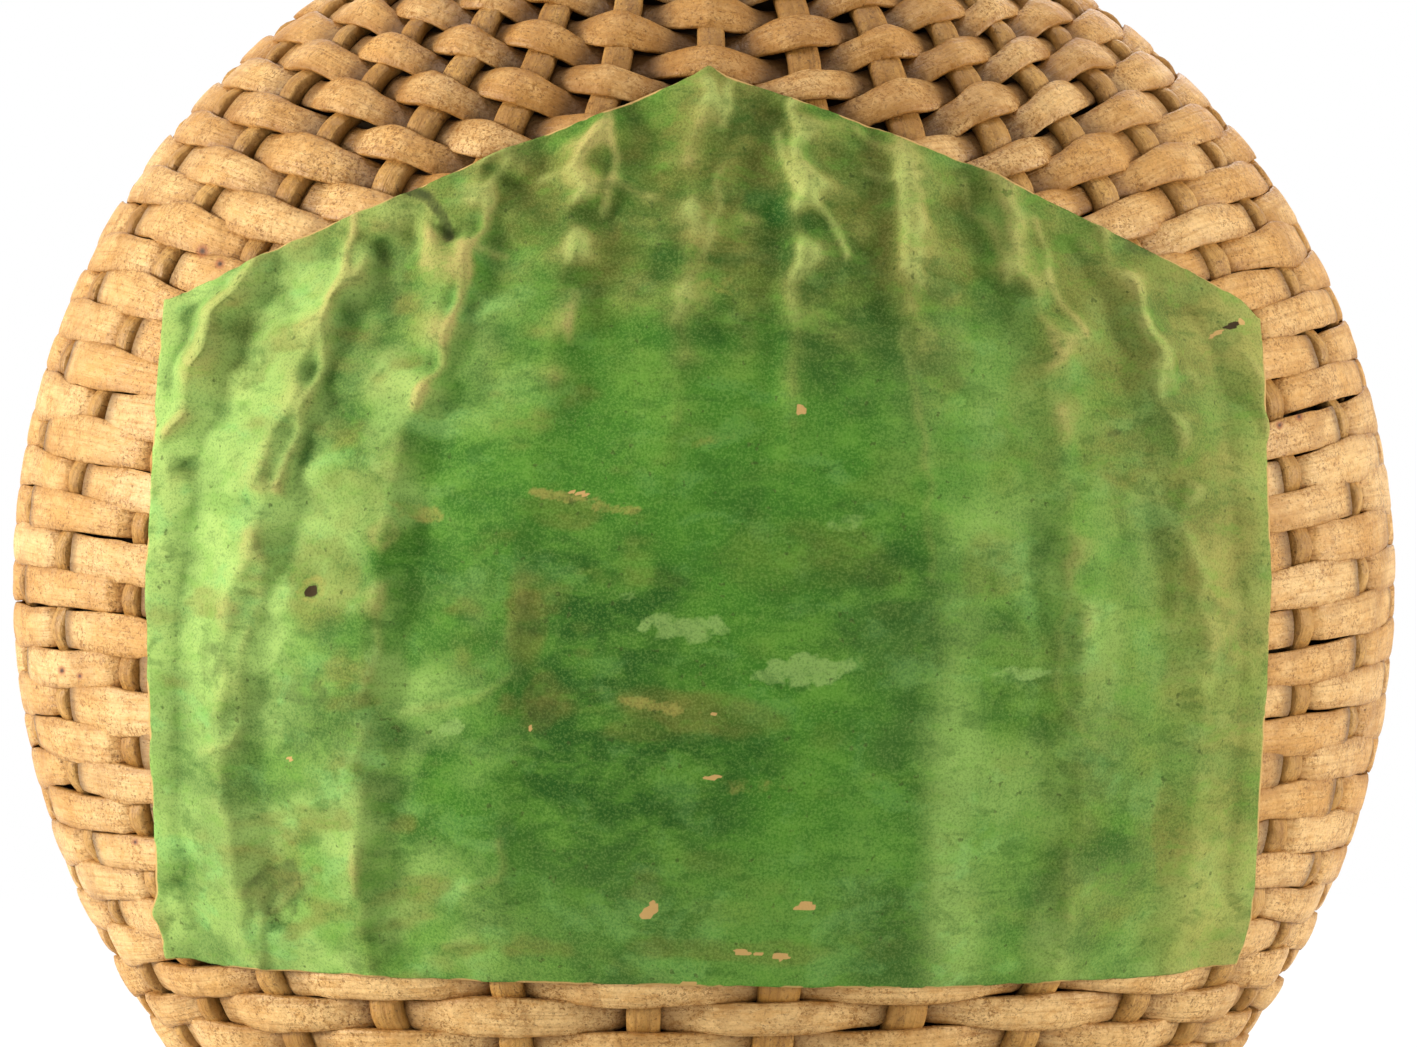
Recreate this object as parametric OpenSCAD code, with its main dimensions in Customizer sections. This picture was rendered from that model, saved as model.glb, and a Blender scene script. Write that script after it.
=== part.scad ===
// Flattened wine bottle in a woven willow cover, with a paper label and a cork.
// Lengths in millimetres. The origin is on the table, under the middle. The label faces -Y.

/* [Body] */
// Width over the weave at the widest plane
body_w = 146; // [120:1:180]
// Depth over the weave, front to back
body_d = 98; // [84:1:120]
// Height of the widest plane above the table
widest_h = 59.5; // [52:0.5:66]
// Semi-height of the shoulder's ellipse above the widest plane
shoulder_h = 74.8; // [68:0.2:84]
// Semi-height of the ellipse below the widest plane
belly_h = 78.6; // [74:0.2:90]
// Radius of the weave's middle layer on the neck
neck_r = 15.4; // [15.2:0.1:17]
// Height of the straight neck's lower end above the widest plane
neck_start_h = 85; // [80:1:95]
// Height of the woven part of the straight neck
neck_h = 20; // [14:1:32]

/* [Glass] */
// Thickness of the glass wall
glass_wall = 3.6; // [2.5:0.1:5]
// Thickness of the glass floor
glass_floor = 5; // [3.5:0.1:7]
// Bore of the neck
bore_d = 18.5; // [17:0.1:19.5]
// Outside diameter of the glass neck
neck_d = 26; // [24.5:0.1:26.4]
// Outside diameter of the lip's band
lip_d = 30; // [28:0.1:32]
// Height of the lip's band
lip_h = 6; // [4:0.5:9]
// Bare glass between the woven collar and the lip's band
bare_h = 3; // [1.5:0.5:8]
// Gap between the glass and the weave
glass_gap = 0.3; // [0.2:0.05:0.6]

/* [Weave] */
// Number of stakes, an odd number so that one strip can go over and under in turn
stake_count = 29; // [25:2:31]
// Width of a stake
stake_w = 3.7; // [2.6:0.1:4]
// Thickness of a stake
stake_t = 2; // [1.6:0.1:2.2]
// Thickness of a weaving strip
strip_t = 1.2; // [0.8:0.1:1.3]
// Play between a strip and the stake that it passes
weave_gap = 0.4; // [0.3:0.05:0.5]
// Rounds of weaving from the foot to the neck
body_rounds = 45; // [38:1:48]
// Rounds of weaving over the top of the shoulder and up the neck
neck_rounds = 12; // [9:1:13]
// Number of separate strips round the body
strip_count = 13; // [9:1:16]
// Width of a strip as a share of the distance between rounds
strip_width_share = 0.88; // [0.7:0.01:0.9]

/* [Base] */
// Height of the foot border
foot_h = 4; // [3:0.1:6]
// Width of the foot border, from its inner to its outer edge
foot_w = 5.5; // [4:0.1:8]
// Recess of the base rounds above the table
base_recess = 0.8; // [0.5:0.1:1.2]
// Thickness of a base round
base_round_t = 1.6; // [1.2:0.1:2]
// Number of oval base rounds
base_round_count = 5; // [3:1:6]
// Thickness of a base stick
base_stick_t = 1.6; // [1.2:0.1:2]
// Width of a base stick
base_stick_w = 4.5; // [3:0.1:6]

/* [Label] */
// Width of the label, measured straight across
label_w = 114; // [96:1:122]
// Height of the label's lower edge at its middle
label_low = 19.5; // [14:0.5:26]
// Height of the label's upper corners
label_side_top = 87.5; // [80:0.5:94]
// Height of the label's peak at its middle
label_peak = 111; // [102:1:114]
// Thickness of the paper
label_t = 0.25; // [0.2:0.05:0.5]
// Gap between the paper and the strips that it is glued over
label_gap = 0.25; // [0.2:0.05:0.4]

/* [Cork] */
// Length of the cork inside the neck
cork_in = 24; // [15:1:32]
// Height of the cork above the lip
cork_out = 11; // [6:1:16]
// Diameter of the cork above the lip
cork_head_d = 21; // [19.8:0.1:24]
// Running gap between the cork and the bore, on the radius
cork_gap = 0.05; // [0.02:0.01:0.2]
// Gap under the cork's head
cork_seat_gap = 0.05; // [0.02:0.01:0.3]
// Width of the chamfer at the cork's lower end
cork_chamfer = 1.2; // [0.6:0.1:2]

/* [Hidden] */
// Length that a cutter runs past the face that it cuts
overrun = 1;
// Steps of height, angle and path over which slopes are measured
slope_step = 0.05;
slope_angle = 1;
way_share = 0.01;
// Distance from the middle layer to a strip's middle, inside or outside a stake
swing = stake_t / 2 + weave_gap + strip_t / 2;
// Distance from the middle layer to either face of the weave
weave_half = swing + strip_t / 2;
// Semi-axes of the weave's middle layer at the widest plane, and its semi-heights
mid_a = body_w / 2 - weave_half;
mid_b = body_d / 2 - weave_half;
mid_up = shoulder_h - weave_half;
mid_down = belly_h - weave_half;
// Distance from the middle layer to the glass
glass_in = weave_half + glass_gap;
// Lower end of the straight neck, and top of the weave on it
neck_z = widest_h + neck_start_h;
collar_z = neck_z + neck_h;
// Share of the weave's thickness by which its outer face hangs down where it leans out
lean_out_share = 0.75;
// Start of the weave's middle layer above the foot border
weave_z = foot_h + weave_gap + weave_half * lean_out_share;
// Thickness of the collar border as a share of the weave's
collar_share = 0.85;
// Radius of the collar border's tube, and height of its middle
collar_tube = weave_half * collar_share;
collar_mid_z = collar_z + collar_tube + weave_gap;
// Underside of the lip's band, and top of the glass
lip_z = collar_mid_z + collar_tube + bare_h;
glass_top = lip_z + lip_h;
// Underside and top of the base's layers
base_stick_z = base_recess + base_round_t;
base_top = base_stick_z + 2 * base_stick_t;
glass_z = base_top + glass_gap;
cavity_z = glass_z + glass_floor;
// Share of the shoulder's height at which it starts to bend up into the neck
bend_share = 0.9;
bend_z = widest_h + bend_share * mid_up;
// Share of the path at which every second stake ends, and at which the neck's strips start
cut_share = 0.85;
// Share of the path from which the stakes that go on are drawn into even places
gather_share = 0.79;
// Stakes that go on up the neck
neck_stakes = (stake_count + 1) / 2;
// Angle of the first stake from the front, and the angle between two stakes
first_angle = -3.9;
stake_step = 360 / stake_count;
neck_step = 360 / neck_stakes;
// Spread of the stakes towards the front at points along the path, in degrees
spread_by_share = [[0, 4.3], [0.19, 2.6], [0.38, 0], [0.56, -5], [0.73, -8], [0.88, -2], [1, 0]];
// Share of a second, quicker wave in that spread
spread_overtone_share = 0.3;
// Lean of all stakes at points along the path, in degrees
lean_by_share = [[0, -2.4], [0.38, 0], [0.74, 4], [1, 5]];
// Rise of the rounds at the sides, against the front, as a share of the path
smile_share = 0.061;
// Share of the path where that rise is greatest
smile_peak_share = 0.7;
// Share of the rise that follows a rounded curve, the rest being straight
smile_round_share = 0.8;
smile_power = smile_peak_share / (1 - smile_peak_share);
smile_at_peak = pow(smile_peak_share, smile_power) * (1 - smile_peak_share);
// Points along each path that is measured, and along each stake
body_steps = 22;
bend_steps = 10;
path_steps = body_steps + bend_steps;
stake_rings = 21;
neck_rings = 2;
// How much closer a stake's rings lie towards its top, where it bends most; 1 is even
ring_crowding = 1.3;
// Facets round the glass, and rows of facets up its belly and up its shoulder
glass_sides = 40;
glass_rows = 6;
bend_rows = 4;
// Columns and rows of facets on the label
label_cols = 21;
label_rows = 12;
// Distance from a round at which a stake that ends there stops, as a share of the next round
strip_clear_share = 0.55;
// Width of a stake's flat as a share of its width
flat_share = 0.27;
// Share of the path from which stakes and strips grow thinner
thinning_share = 0.58;
// Width and thickness of a stake on the neck as shares of those on the body
neck_stake_share = 0.56;
// Width of a neck strip as a share of a body strip's
neck_width_share = 0.9;
// Width of a stake over which a neck strip lies flat, as a share
neck_rest_share = 0.45;
// Half-width of the open middle of the base rounds, as a share of one round's width
base_core_share = 0.6;
// Distances between the base's long sticks and its short sticks, as shares of a stick's width
long_pitch_share = 1.6;
short_pitch_share = 2.4;
// Samples of the oval outline of the base
oval_steps = 72;
willow = [0.80, 0.64, 0.45];
willow_dark = [0.66, 0.50, 0.33];

// Half-width of an oval at height z. The oval measures half at the widest plane, follows an
// ellipse of semi-height down below it and up above it, and bends into a neck of radius r.
function reach(z, half, up, down, r) =
    let (
        u = (z - widest_h) / (z < widest_h ? down : up),
        z1 = widest_h + bend_share * up,
        r1 = half * sqrt(1 - bend_share * bend_share),
        slope = half * half * bend_share / up / r1,
        reach_up = (r1 - r) / slope,
        rest = neck_z - z1 - 2 * reach_up,
        t = (z - z1) / (reach_up + sqrt(max(0, reach_up * reach_up + rest * (z - z1))))
    )
    z <= z1 ? half * sqrt(max(0, 1 - u * u)) : z >= neck_z ? r : r + (r1 - r) * pow(1 - t, 2);

// Point on the weave's middle layer. Angle a is measured from the front towards +X.
function skin(a, z) = [
    reach(z, mid_a, mid_up, mid_down, neck_r) * sin(a),
    -reach(z, mid_b, mid_up, mid_down, neck_r) * cos(a),
    z
];

function unit(v) = v / norm(v);

// Outward direction of the middle layer at a point
function outward(a, z) =
    let (
        round = skin(a + slope_angle, z) - skin(a - slope_angle, z),
        up = skin(a, z + slope_step) - skin(a, z - slope_step)
    )
    unit(cross(round, up));

// Height at each of the points by which a path from the foot to the neck is measured
path_low = -asin(min(1, (widest_h - weave_z) / mid_down));
path_high = asin(bend_share);

function path_z(i) =
    let (p = path_low + (path_high - path_low) * i / body_steps)
    i <= body_steps
    ? widest_h + (p < 0 ? mid_down : mid_up) * sin(p)
    : bend_z + (neck_z - bend_z) * (i - body_steps) / bend_steps;

function path_length(a, i) =
    i == 0 ? 0 : path_length(a, i - 1) + norm(skin(a, path_z(i)) - skin(a, path_z(i - 1)));

// Table of height by share of the path at angle a
function path_table(a) =
    let (total = path_length(a, path_steps))
    [for (i = 0, s = 0; i <= path_steps;
          i = i + 1,
          s = s + (i <= path_steps ? norm(skin(a, path_z(i)) - skin(a, path_z(i - 1))) : 0))
     [s / total, path_z(i)]];

// Angle at which stake k crosses the given share of the path
function home_angle(k) = first_angle + k * stake_step;

// How far a stake that goes up the neck has moved to its even place there, from 0 to 1
function gathered(share) = max(0, min(1, (share - gather_share) / (1 - gather_share)));

function stake_angle(k, share) =
    let (
        h = home_angle(k),
        wave = sin(2 * h) - spread_overtone_share * sin(4 * h),
        own = h + lookup(share, spread_by_share) * wave + lookup(share, lean_by_share),
        spare = (neck_stakes - 1) * (2 * stake_step - neck_step),
        even = home_angle(0) + neck_step * k / 2 + spare / 2 + lookup(1, lean_by_share),
        g = gathered(share)
    )
    k % 2 == 1 ? own : own + (even - own) * g;

tables = [for (k = [0:stake_count - 1]) path_table(home_angle(k))];
paths = [for (k = [0:stake_count - 1]) path_length(home_angle(k), path_steps)];
path_mean = (min(paths) + max(paths)) / 2;

// Height at which stake k crosses a share of its path. Past the whole path it climbs the neck.
function stake_z(k, share) =
    share <= 1 ? lookup(share, tables[k]) : neck_z + (share - 1) * neck_h;

// Share of its path at which stake k is crossed by the round of weaving that is at w
function round_share(k, w) =
    let (
        side = abs(sin(home_angle(k))),
        f = smile_round_share * side * side + (1 - smile_round_share) * side,
        bump = pow(w, smile_power) * max(0, 1 - w) / smile_at_peak
    )
    w + smile_share * bump * (f - 0.5);

// How slender the stakes and strips are at a share of the path, 1 on the body
function slender(share) =
    1 - (1 - neck_stake_share) * max(0, min(1, (share - thinning_share) / (1 - thinning_share)));

// Tube through rings of points that all have as many points, closed at both ends
module tube(rings) {
    n = len(rings[0]);
    last = len(rings) - 1;
    points = [for (ring = rings) each ring];
    sides = [for (i = [0:last - 1], j = [0:n - 1])
        let (j2 = (j + 1) % n, a = i * n + j, b = i * n + j2, c = a + n, d = b + n)
        each [[a, d, b], [a, c, d]]];
    ends = [for (j = [1:n - 2]) each [[0, j, j + 1], [last * n, last * n + j + 1, last * n + j]]];
    polyhedron(points = points, faces = concat(sides, ends));
}

// Point on stake k's middle line, and the line's direction there
function stake_point(k, share) = skin(stake_angle(k, share), stake_z(k, share));
function stake_way(k, share) =
    unit(stake_point(k, share + way_share) - stake_point(k, share - way_share));

// Ring of a stake: a hexagon with a flat face inside and outside
function stake_ring(k, share) =
    let (
        p = stake_point(k, share),
        n = outward(stake_angle(k, share), stake_z(k, share)),
        side = unit(cross(stake_way(k, share), n)),
        s = slender(share),
        w = stake_w / 2 * s,
        t = stake_t / 2 * s,
        flat = w * flat_share
    )
    [p + flat * side + t * n, p + w * side, p + flat * side - t * n,
     p - flat * side - t * n, p - w * side, p - flat * side + t * n];

module stake(k) {
    goes_up = k % 2 == 0;
    last_round_share = neck_first_share + (k / stake_count - strip_clear_share) / body_rounds;
    top = goes_up ? 1 : round_share(k, last_round_share);
    body = [for (i = [0:stake_rings - 1])
        stake_ring(k, top * (1 - pow(1 - i / (stake_rings - 1), ring_crowding)))];
    neck = goes_up ? [for (i = [1:neck_rings]) stake_ring(k, 1 + i / neck_rings)] : [];
    color(willow_dark) tube(concat(body, neck));
}

// Ring of a strip at stake k, on the outside or the inside of it, at a distance to its side
function strip_ring(k, share, over, pitch, aside = 0) =
    let (
        n = outward(stake_angle(k, share), stake_z(k, share)),
        way = stake_way(k, share),
        s = slender(share),
        off = (swing - weave_gap) * s + weave_gap,
        p = stake_point(k, share) + (over ? off : -off) * n + aside * cross(way, n),
        w = pitch * strip_width_share / 2 * way,
        t = strip_t * s / 2 * n
    )
    [p - w + t, p - w - t, p + w - t, p + w + t];

// One strip of the body's spiral. Crossing i is at stake i, counted on round after round.
crossings = floor(body_rounds * cut_share) * stake_count;
first_round_share = 0.5 / body_rounds;
neck_first_share = first_round_share + crossings / stake_count / body_rounds;

module weaver(number) {
    per_strip = ceil(crossings / strip_count);
    from = (number - 1) * per_strip;
    to = min(crossings, from + per_strip) - 1;
    color(willow) tube([for (i = [from:to])
        let (
            k = i % stake_count,
            w = first_round_share + i / stake_count / body_rounds,
            share = round_share(k, w),
            pitch = paths[k] / body_rounds
        )
        strip_ring(k, share, i % 2 == 0, pitch)]);
}

// One strip of the neck's spiral, round the stakes that go up it
neck_crossings = neck_rounds * neck_stakes;

module neck_weaver(number) {
    per_strip = ceil(neck_crossings / 2);
    from = (number - 1) * per_strip;
    to = min(neck_crossings, from + per_strip) - 1;
    slope_length = (1 - neck_first_share) * path_mean;
    pitch = (slope_length + neck_h) / (neck_rounds + strip_clear_share);
    color(willow) tube([for (i = [from:to], side = [-1, 1])
        let (
            k = 2 * (i % neck_stakes),
            run = i / neck_stakes * pitch,
            share = run < slope_length
                ? round_share(k, neck_first_share + run / path_mean)
                : 1 + (run - slope_length) / neck_h,
            aside = side * stake_w / 2 * neck_rest_share
        )
        strip_ring(k, share, i % 2 == 0, pitch * neck_width_share, aside)]);
}

module collar_border() {
    color(willow_dark)
    translate([0, 0, collar_mid_z])
    rotate_extrude($fn = 64)
    translate([neck_r, 0])
    circle(r = collar_tube, $fn = 32);
}

// Closed surface of the glass: rings of points from the bottom up
function glass_ring(z, inset) = [for (i = [0:glass_sides - 1])
    let (a = i * 360 / glass_sides)
    [reach(z, mid_a - inset, mid_up - inset, mid_down - inset, neck_r - inset) * sin(a),
     -reach(z, mid_b - inset, mid_up - inset, mid_down - inset, neck_r - inset) * cos(a), z]];

module glass_form(inset, low, top) {
    down = mid_down - inset;
    up = mid_up - inset;
    first = -asin(min(1, (widest_h - low) / down));
    bend = widest_h + bend_share * up;
    belly = [for (i = [0:glass_rows - 1]) widest_h + down * sin(first * (1 - i / glass_rows))];
    shoulder = [for (i = [0:glass_rows - 1]) widest_h + up * sin(path_high * i / glass_rows)];
    slope = [for (i = [0:bend_rows]) bend + (top - bend) * i / bend_rows];
    tube([for (z = concat(belly, shoulder, slope)) glass_ring(z, inset)]);
}

module glass_bottle() {
    bore_r = bore_d / 2;
    inner = glass_in + glass_wall;
    color([0.35, 0.45, 0.25])
    difference() {
        union() {
            glass_form(glass_in, glass_z, neck_z);
            translate([0, 0, bend_z])
                cylinder(d = neck_d, h = glass_top - bend_z, $fn = 96);
            translate([0, 0, lip_z]) cylinder(d = lip_d, h = lip_h, $fn = 96);
        }
        glass_form(inner, cavity_z, neck_z);
        translate([0, 0, bend_z]) cylinder(r = bore_r, h = glass_top - bend_z + overrun, $fn = 96);
    }
}

module cork() {
    r = bore_d / 2 - cork_gap;
    color([0.78, 0.60, 0.42]) {
        translate([0, 0, glass_top - cork_in]) rotate_extrude($fn = 96)
            polygon([[0, 0], [r - cork_chamfer, 0], [r, cork_chamfer],
                     [r, cork_in + cork_seat_gap], [cork_head_d / 2, cork_in + cork_seat_gap],
                     [cork_head_d / 2, cork_in + cork_out - cork_chamfer],
                     [cork_head_d / 2 - cork_chamfer, cork_in + cork_out],
                     [0, cork_in + cork_out]]);
    }
}

// Outline of the base at a distance in from the edge of the foot border
function oval(inset) =
    let (
        a = reach(foot_h, mid_a, mid_up, mid_down, neck_r) + weave_half - inset,
        b = reach(foot_h, mid_b, mid_up, mid_down, neck_r) + weave_half - inset
    )
    [for (i = [0:oval_steps - 1]) [a * sin(i * 360 / oval_steps), b * cos(i * 360 / oval_steps)]];

module oval_band(outer, inner, low, height) {
    translate([0, 0, low])
    linear_extrude(height)
    difference() {
        polygon(oval(outer));
        polygon(oval(inner));
    }
}

module foot_border() {
    color(willow_dark) oval_band(0, foot_w, 0, foot_h);
}

// Distance in from the foot border's edge to the widest base round
base_inset = foot_w + weave_gap;
base_half_b = reach(foot_h, mid_b, mid_up, mid_down, neck_r) + weave_half - base_inset;
base_half_a = reach(foot_h, mid_a, mid_up, mid_down, neck_r) + weave_half - base_inset;
base_pitch = base_half_b / (base_round_count + base_core_share);

module base_rounds() {
    color(willow)
    for (i = [0:base_round_count - 1])
        oval_band(base_inset + i * base_pitch, base_inset + (i + 1) * base_pitch - weave_gap,
                  base_recess, base_round_t);
}

// Base sticks cross the rounds: the long ones lie on the rounds, the short ones on the long ones
module base_sticks_long() {
    pitch = base_stick_w * long_pitch_share;
    color(willow_dark)
    for (i = [-1:1]) {
        length = 2 * base_half_a * sqrt(1 - pow((abs(i) * pitch + base_stick_w) / base_half_b, 2));
        translate([-length / 2, i * pitch - base_stick_w / 2, base_stick_z])
            cube([length, base_stick_w, base_stick_t]);
    }
}

module base_sticks_short() {
    pitch = base_stick_w * short_pitch_share;
    color(willow_dark)
    for (i = [-2:2]) {
        length = 2 * base_half_b * sqrt(1 - pow((abs(i) * pitch + base_stick_w) / base_half_a, 2));
        translate([i * pitch - base_stick_w / 2, -length / 2, base_stick_z + base_stick_t])
            cube([base_stick_w, length, base_stick_t]);
    }
}

// Height of the label's edges at a share of its half-width, from -1 to 1
function label_top(x) = label_side_top + (label_peak - label_side_top) * (1 - abs(x));

// Point on the label's inner or outer face
function label_point(x, y, out) =
    let (
        z = label_low + (label_top(x) - label_low) * y,
        half = reach(z, mid_a, mid_up, mid_down, neck_r),
        a = asin(max(-1, min(1, x * label_w / 2 / (half + weave_half)))),
        n = outward(a, z)
    )
    skin(a, z) + (weave_half + label_gap + out) * n;

module paper_label() {
    cols = label_cols - 1;
    rows = label_rows - 1;
    face = [for (i = [0:cols], j = [0:rows]) label_point(2 * i / cols - 1, j / rows, label_t)];
    back = [for (i = [0:cols], j = [0:rows]) label_point(2 * i / cols - 1, j / rows, 0)];
    n = label_rows;
    total = len(face);
    cells = [for (i = [0:cols - 1], j = [0:rows - 1])
        let (a = i * n + j, b = a + n, c = b + 1, d = a + 1)
        each [[a, c, b], [a, d, c], [a + total, b + total, c + total],
              [a + total, c + total, d + total]]];
    low = [for (i = [0:cols - 1]) let (a = i * n, b = a + n)
        each [[a, b, b + total], [a, b + total, a + total]]];
    high = [for (i = [0:cols - 1]) let (a = i * n + rows, b = a + n)
        each [[a, b + total, b], [a, a + total, b + total]]];
    left = [for (j = [0:rows - 1]) let (a = j, d = j + 1)
        each [[a, d + total, d], [a, a + total, d + total]]];
    right = [for (j = [0:rows - 1]) let (a = cols * n + j, d = a + 1)
        each [[a, d, d + total], [a, d + total, a + total]]];
    color([0.35, 0.52, 0.30])
    polyhedron(points = concat(face, back), faces = concat(cells, low, high, left, right));
}

glass_bottle();
cork();
paper_label();
foot_border();
base_rounds();
base_sticks_long();
base_sticks_short();
collar_border();
neck_weaver(1);  // neck_weaver_1
neck_weaver(2);  // neck_weaver_2
for (i = [1:stake_count]) stake(i - 1);
for (i = [1:strip_count]) weaver(i);
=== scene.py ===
import math

import bpy
import numpy as np
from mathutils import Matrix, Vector


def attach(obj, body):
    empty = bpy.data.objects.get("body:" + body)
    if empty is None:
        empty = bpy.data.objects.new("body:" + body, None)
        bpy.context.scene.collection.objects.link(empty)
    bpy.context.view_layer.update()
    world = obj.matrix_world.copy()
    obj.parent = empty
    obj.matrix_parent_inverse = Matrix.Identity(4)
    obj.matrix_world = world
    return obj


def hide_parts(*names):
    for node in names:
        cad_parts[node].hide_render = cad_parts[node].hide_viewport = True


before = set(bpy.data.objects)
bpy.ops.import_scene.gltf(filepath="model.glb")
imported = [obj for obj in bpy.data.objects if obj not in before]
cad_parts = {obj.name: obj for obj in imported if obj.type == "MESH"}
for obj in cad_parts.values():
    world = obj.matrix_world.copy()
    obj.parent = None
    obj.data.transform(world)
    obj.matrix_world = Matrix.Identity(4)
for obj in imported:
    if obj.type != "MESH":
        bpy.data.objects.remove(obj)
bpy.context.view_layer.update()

# Lengths are in millimetres, as in the part's source, and become metres when a mesh is made.
MM = 0.001

# Driving sizes of the body, the weave and the neck
BODY_W, BODY_D = 146.0, 98.0
WIDEST_H, SHOULDER_H, BELLY_H = 59.5, 74.8, 78.6
NECK_R, NECK_START_H, NECK_H = 15.4, 85.0, 20.0
STAKE_COUNT, STAKE_W, STAKE_T = 29, 3.7, 2.0
STRIP_T, WEAVE_GAP = 1.2, 0.4
BODY_ROUNDS, NECK_ROUNDS, STRIP_COUNT = 45, 12, 13
FOOT_H, FOOT_W = 4.0, 5.5
GLASS_GAP, GLASS_WALL, GLASS_FLOOR = 0.3, 3.6, 5.0
BORE_D, NECK_D, LIP_D, LIP_H, BARE_H = 18.5, 26.0, 30.0, 6.0, 3.0
BASE_RECESS, BASE_ROUND_T, BASE_STICK_T = 0.8, 1.6, 1.6
CORK_IN, CORK_OUT, CORK_HEAD_D, CORK_GAP = 24.0, 11.0, 21.0, 0.05

# What follows from them
WEAVE_HALF = STAKE_T / 2 + WEAVE_GAP + STRIP_T
MID_A, MID_B = BODY_W / 2 - WEAVE_HALF, BODY_D / 2 - WEAVE_HALF
MID_UP, MID_DOWN = SHOULDER_H - WEAVE_HALF, BELLY_H - WEAVE_HALF
NECK_Z = WIDEST_H + NECK_START_H
COLLAR_Z = NECK_Z + NECK_H
COLLAR_TUBE = WEAVE_HALF * 0.85
COLLAR_MID_Z = COLLAR_Z + COLLAR_TUBE + WEAVE_GAP
LIP_Z = COLLAR_MID_Z + COLLAR_TUBE + BARE_H
GLASS_TOP = LIP_Z + LIP_H
WEAVE_Z = FOOT_H + WEAVE_GAP + WEAVE_HALF * 0.75
BASE_STICK_Z = BASE_RECESS + BASE_ROUND_T
GLASS_Z = BASE_STICK_Z + 2 * BASE_STICK_T + GLASS_GAP
BEND_SHARE, CUT_SHARE, GATHER_SHARE = 0.9, 0.85, 0.79
BEND_Z = WIDEST_H + BEND_SHARE * MID_UP
THINNING_SHARE, NECK_STAKE_SHARE, NECK_WIDTH_SHARE = 0.58, 0.56, 0.9
NECK_STAKES = (STAKE_COUNT + 1) // 2
FIRST_ANGLE = -3.9
STAKE_STEP, NECK_STEP = 360 / STAKE_COUNT, 360 / NECK_STAKES
SPREAD = [[0, 4.3], [0.19, 2.6], [0.38, 0], [0.56, -5], [0.73, -8], [0.88, -2], [1, 0]]
LEAN = [[0, -2.4], [0.38, 0], [0.74, 4], [1, 5]]
SPREAD_OVERTONE = 0.3
SMILE_SHARE, SMILE_PEAK, SMILE_ROUND = 0.061, 0.7, 0.8
SMILE_POWER = SMILE_PEAK / (1 - SMILE_PEAK)
SMILE_AT_PEAK = SMILE_PEAK ** SMILE_POWER * (1 - SMILE_PEAK)
BODY_STEPS, BEND_STEPS = 22, 10
CROSSINGS = int(BODY_ROUNDS * CUT_SHARE) * STAKE_COUNT
FIRST_ROUND = 0.5 / BODY_ROUNDS
NECK_FIRST = FIRST_ROUND + CROSSINGS / STAKE_COUNT / BODY_ROUNDS
STRIP_CLEAR = 0.55
NECK_CROSSINGS = NECK_ROUNDS * NECK_STAKES


def unit(v):
    return v / np.maximum(np.linalg.norm(v, axis=-1, keepdims=True), 1e-12)


def clamp(x, low=0.0, high=1.0):
    return np.minimum(np.maximum(x, low), high)


def step(x, low, high):
    t = clamp((x - low) / (high - low))
    return t * t * (3 - 2 * t)


def sind(a):
    return np.sin(np.radians(a))


def cosd(a):
    return np.cos(np.radians(a))


def run_along(line):
    """Distance from the first point of a line to each of its points."""
    return np.concatenate([[0], np.cumsum(np.linalg.norm(np.diff(line, axis=0), axis=1))])


# ---- Smooth noise that is the same each run ---------------------------------------------

def lattice(i, j, k, seed):
    h = (i * 374761393 + j * 668265263 + k * 2147483647 + seed * 1274126177) & 0xFFFFFFFF
    h = ((h ^ (h >> 13)) * 1274126177) & 0xFFFFFFFF
    return ((h ^ (h >> 16)) & 0xFFFF) / 32767.5 - 1


def noise(x, y=0.0, z=0.0, seed=0):
    """Value noise from -1 to 1 with a grain of one unit."""
    x, y, z = np.broadcast_arrays(np.asarray(x, float), np.asarray(y, float), np.asarray(z, float))
    cell = [np.floor(c).astype(np.int64) for c in (x, y, z)]
    part = [c - i for c, i in zip((x, y, z), cell)]
    part = [p * p * (3 - 2 * p) for p in part]
    total = np.zeros(x.shape)
    for corner in range(8):
        d = [(corner >> b) & 1 for b in range(3)]
        weight = np.ones(x.shape)
        for b in range(3):
            weight = weight * (part[b] if d[b] else 1 - part[b])
        total += weight * lattice(cell[0] + d[0], cell[1] + d[1], cell[2] + d[2], seed)
    return total


def layered(x, y=0.0, z=0.0, seed=0):
    """Noise with two finer layers, each half as strong as the one before."""
    total = sum(0.5 ** n * noise(x * 2 ** n, y * 2 ** n, z * 2 ** n, seed + n) for n in range(3))
    return total / 1.75


# ---- The shape that the glass and the weave share, as in the part's source --------------

def reach(z, half, up, down, r):
    """Half width at height z: two half ovals, and a curve from the bend to the neck."""
    z = np.asarray(z, float)
    u = np.where(z < WIDEST_H, (z - WIDEST_H) / down, (z - WIDEST_H) / up)
    z1 = WIDEST_H + BEND_SHARE * up
    r1 = half * math.sqrt(1 - BEND_SHARE ** 2)
    slope = half * half * BEND_SHARE / up / r1
    reach_up = (r1 - r) / slope
    rest = NECK_Z - z1 - 2 * reach_up
    dz = np.maximum(z - z1, 0)
    t = dz / (reach_up + np.sqrt(np.maximum(0, reach_up ** 2 + rest * dz)))
    low = half * np.sqrt(np.maximum(0, 1 - u * u))
    return np.where(z <= z1, low, np.where(z >= NECK_Z, r, r + (r1 - r) * (1 - t) ** 2))


def skin(a, z, out=0.0):
    """Points at angle a and height z, on the middle of the weave or out from it."""
    return np.stack(np.broadcast_arrays(
        reach(z, MID_A + out, MID_UP + out, MID_DOWN + out, NECK_R + out) * sind(a),
        -reach(z, MID_B + out, MID_UP + out, MID_DOWN + out, NECK_R + out) * cosd(a),
        np.asarray(z, float)), axis=-1)


def half_width(z):
    return reach(z, MID_A, MID_UP, MID_DOWN, NECK_R)


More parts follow.
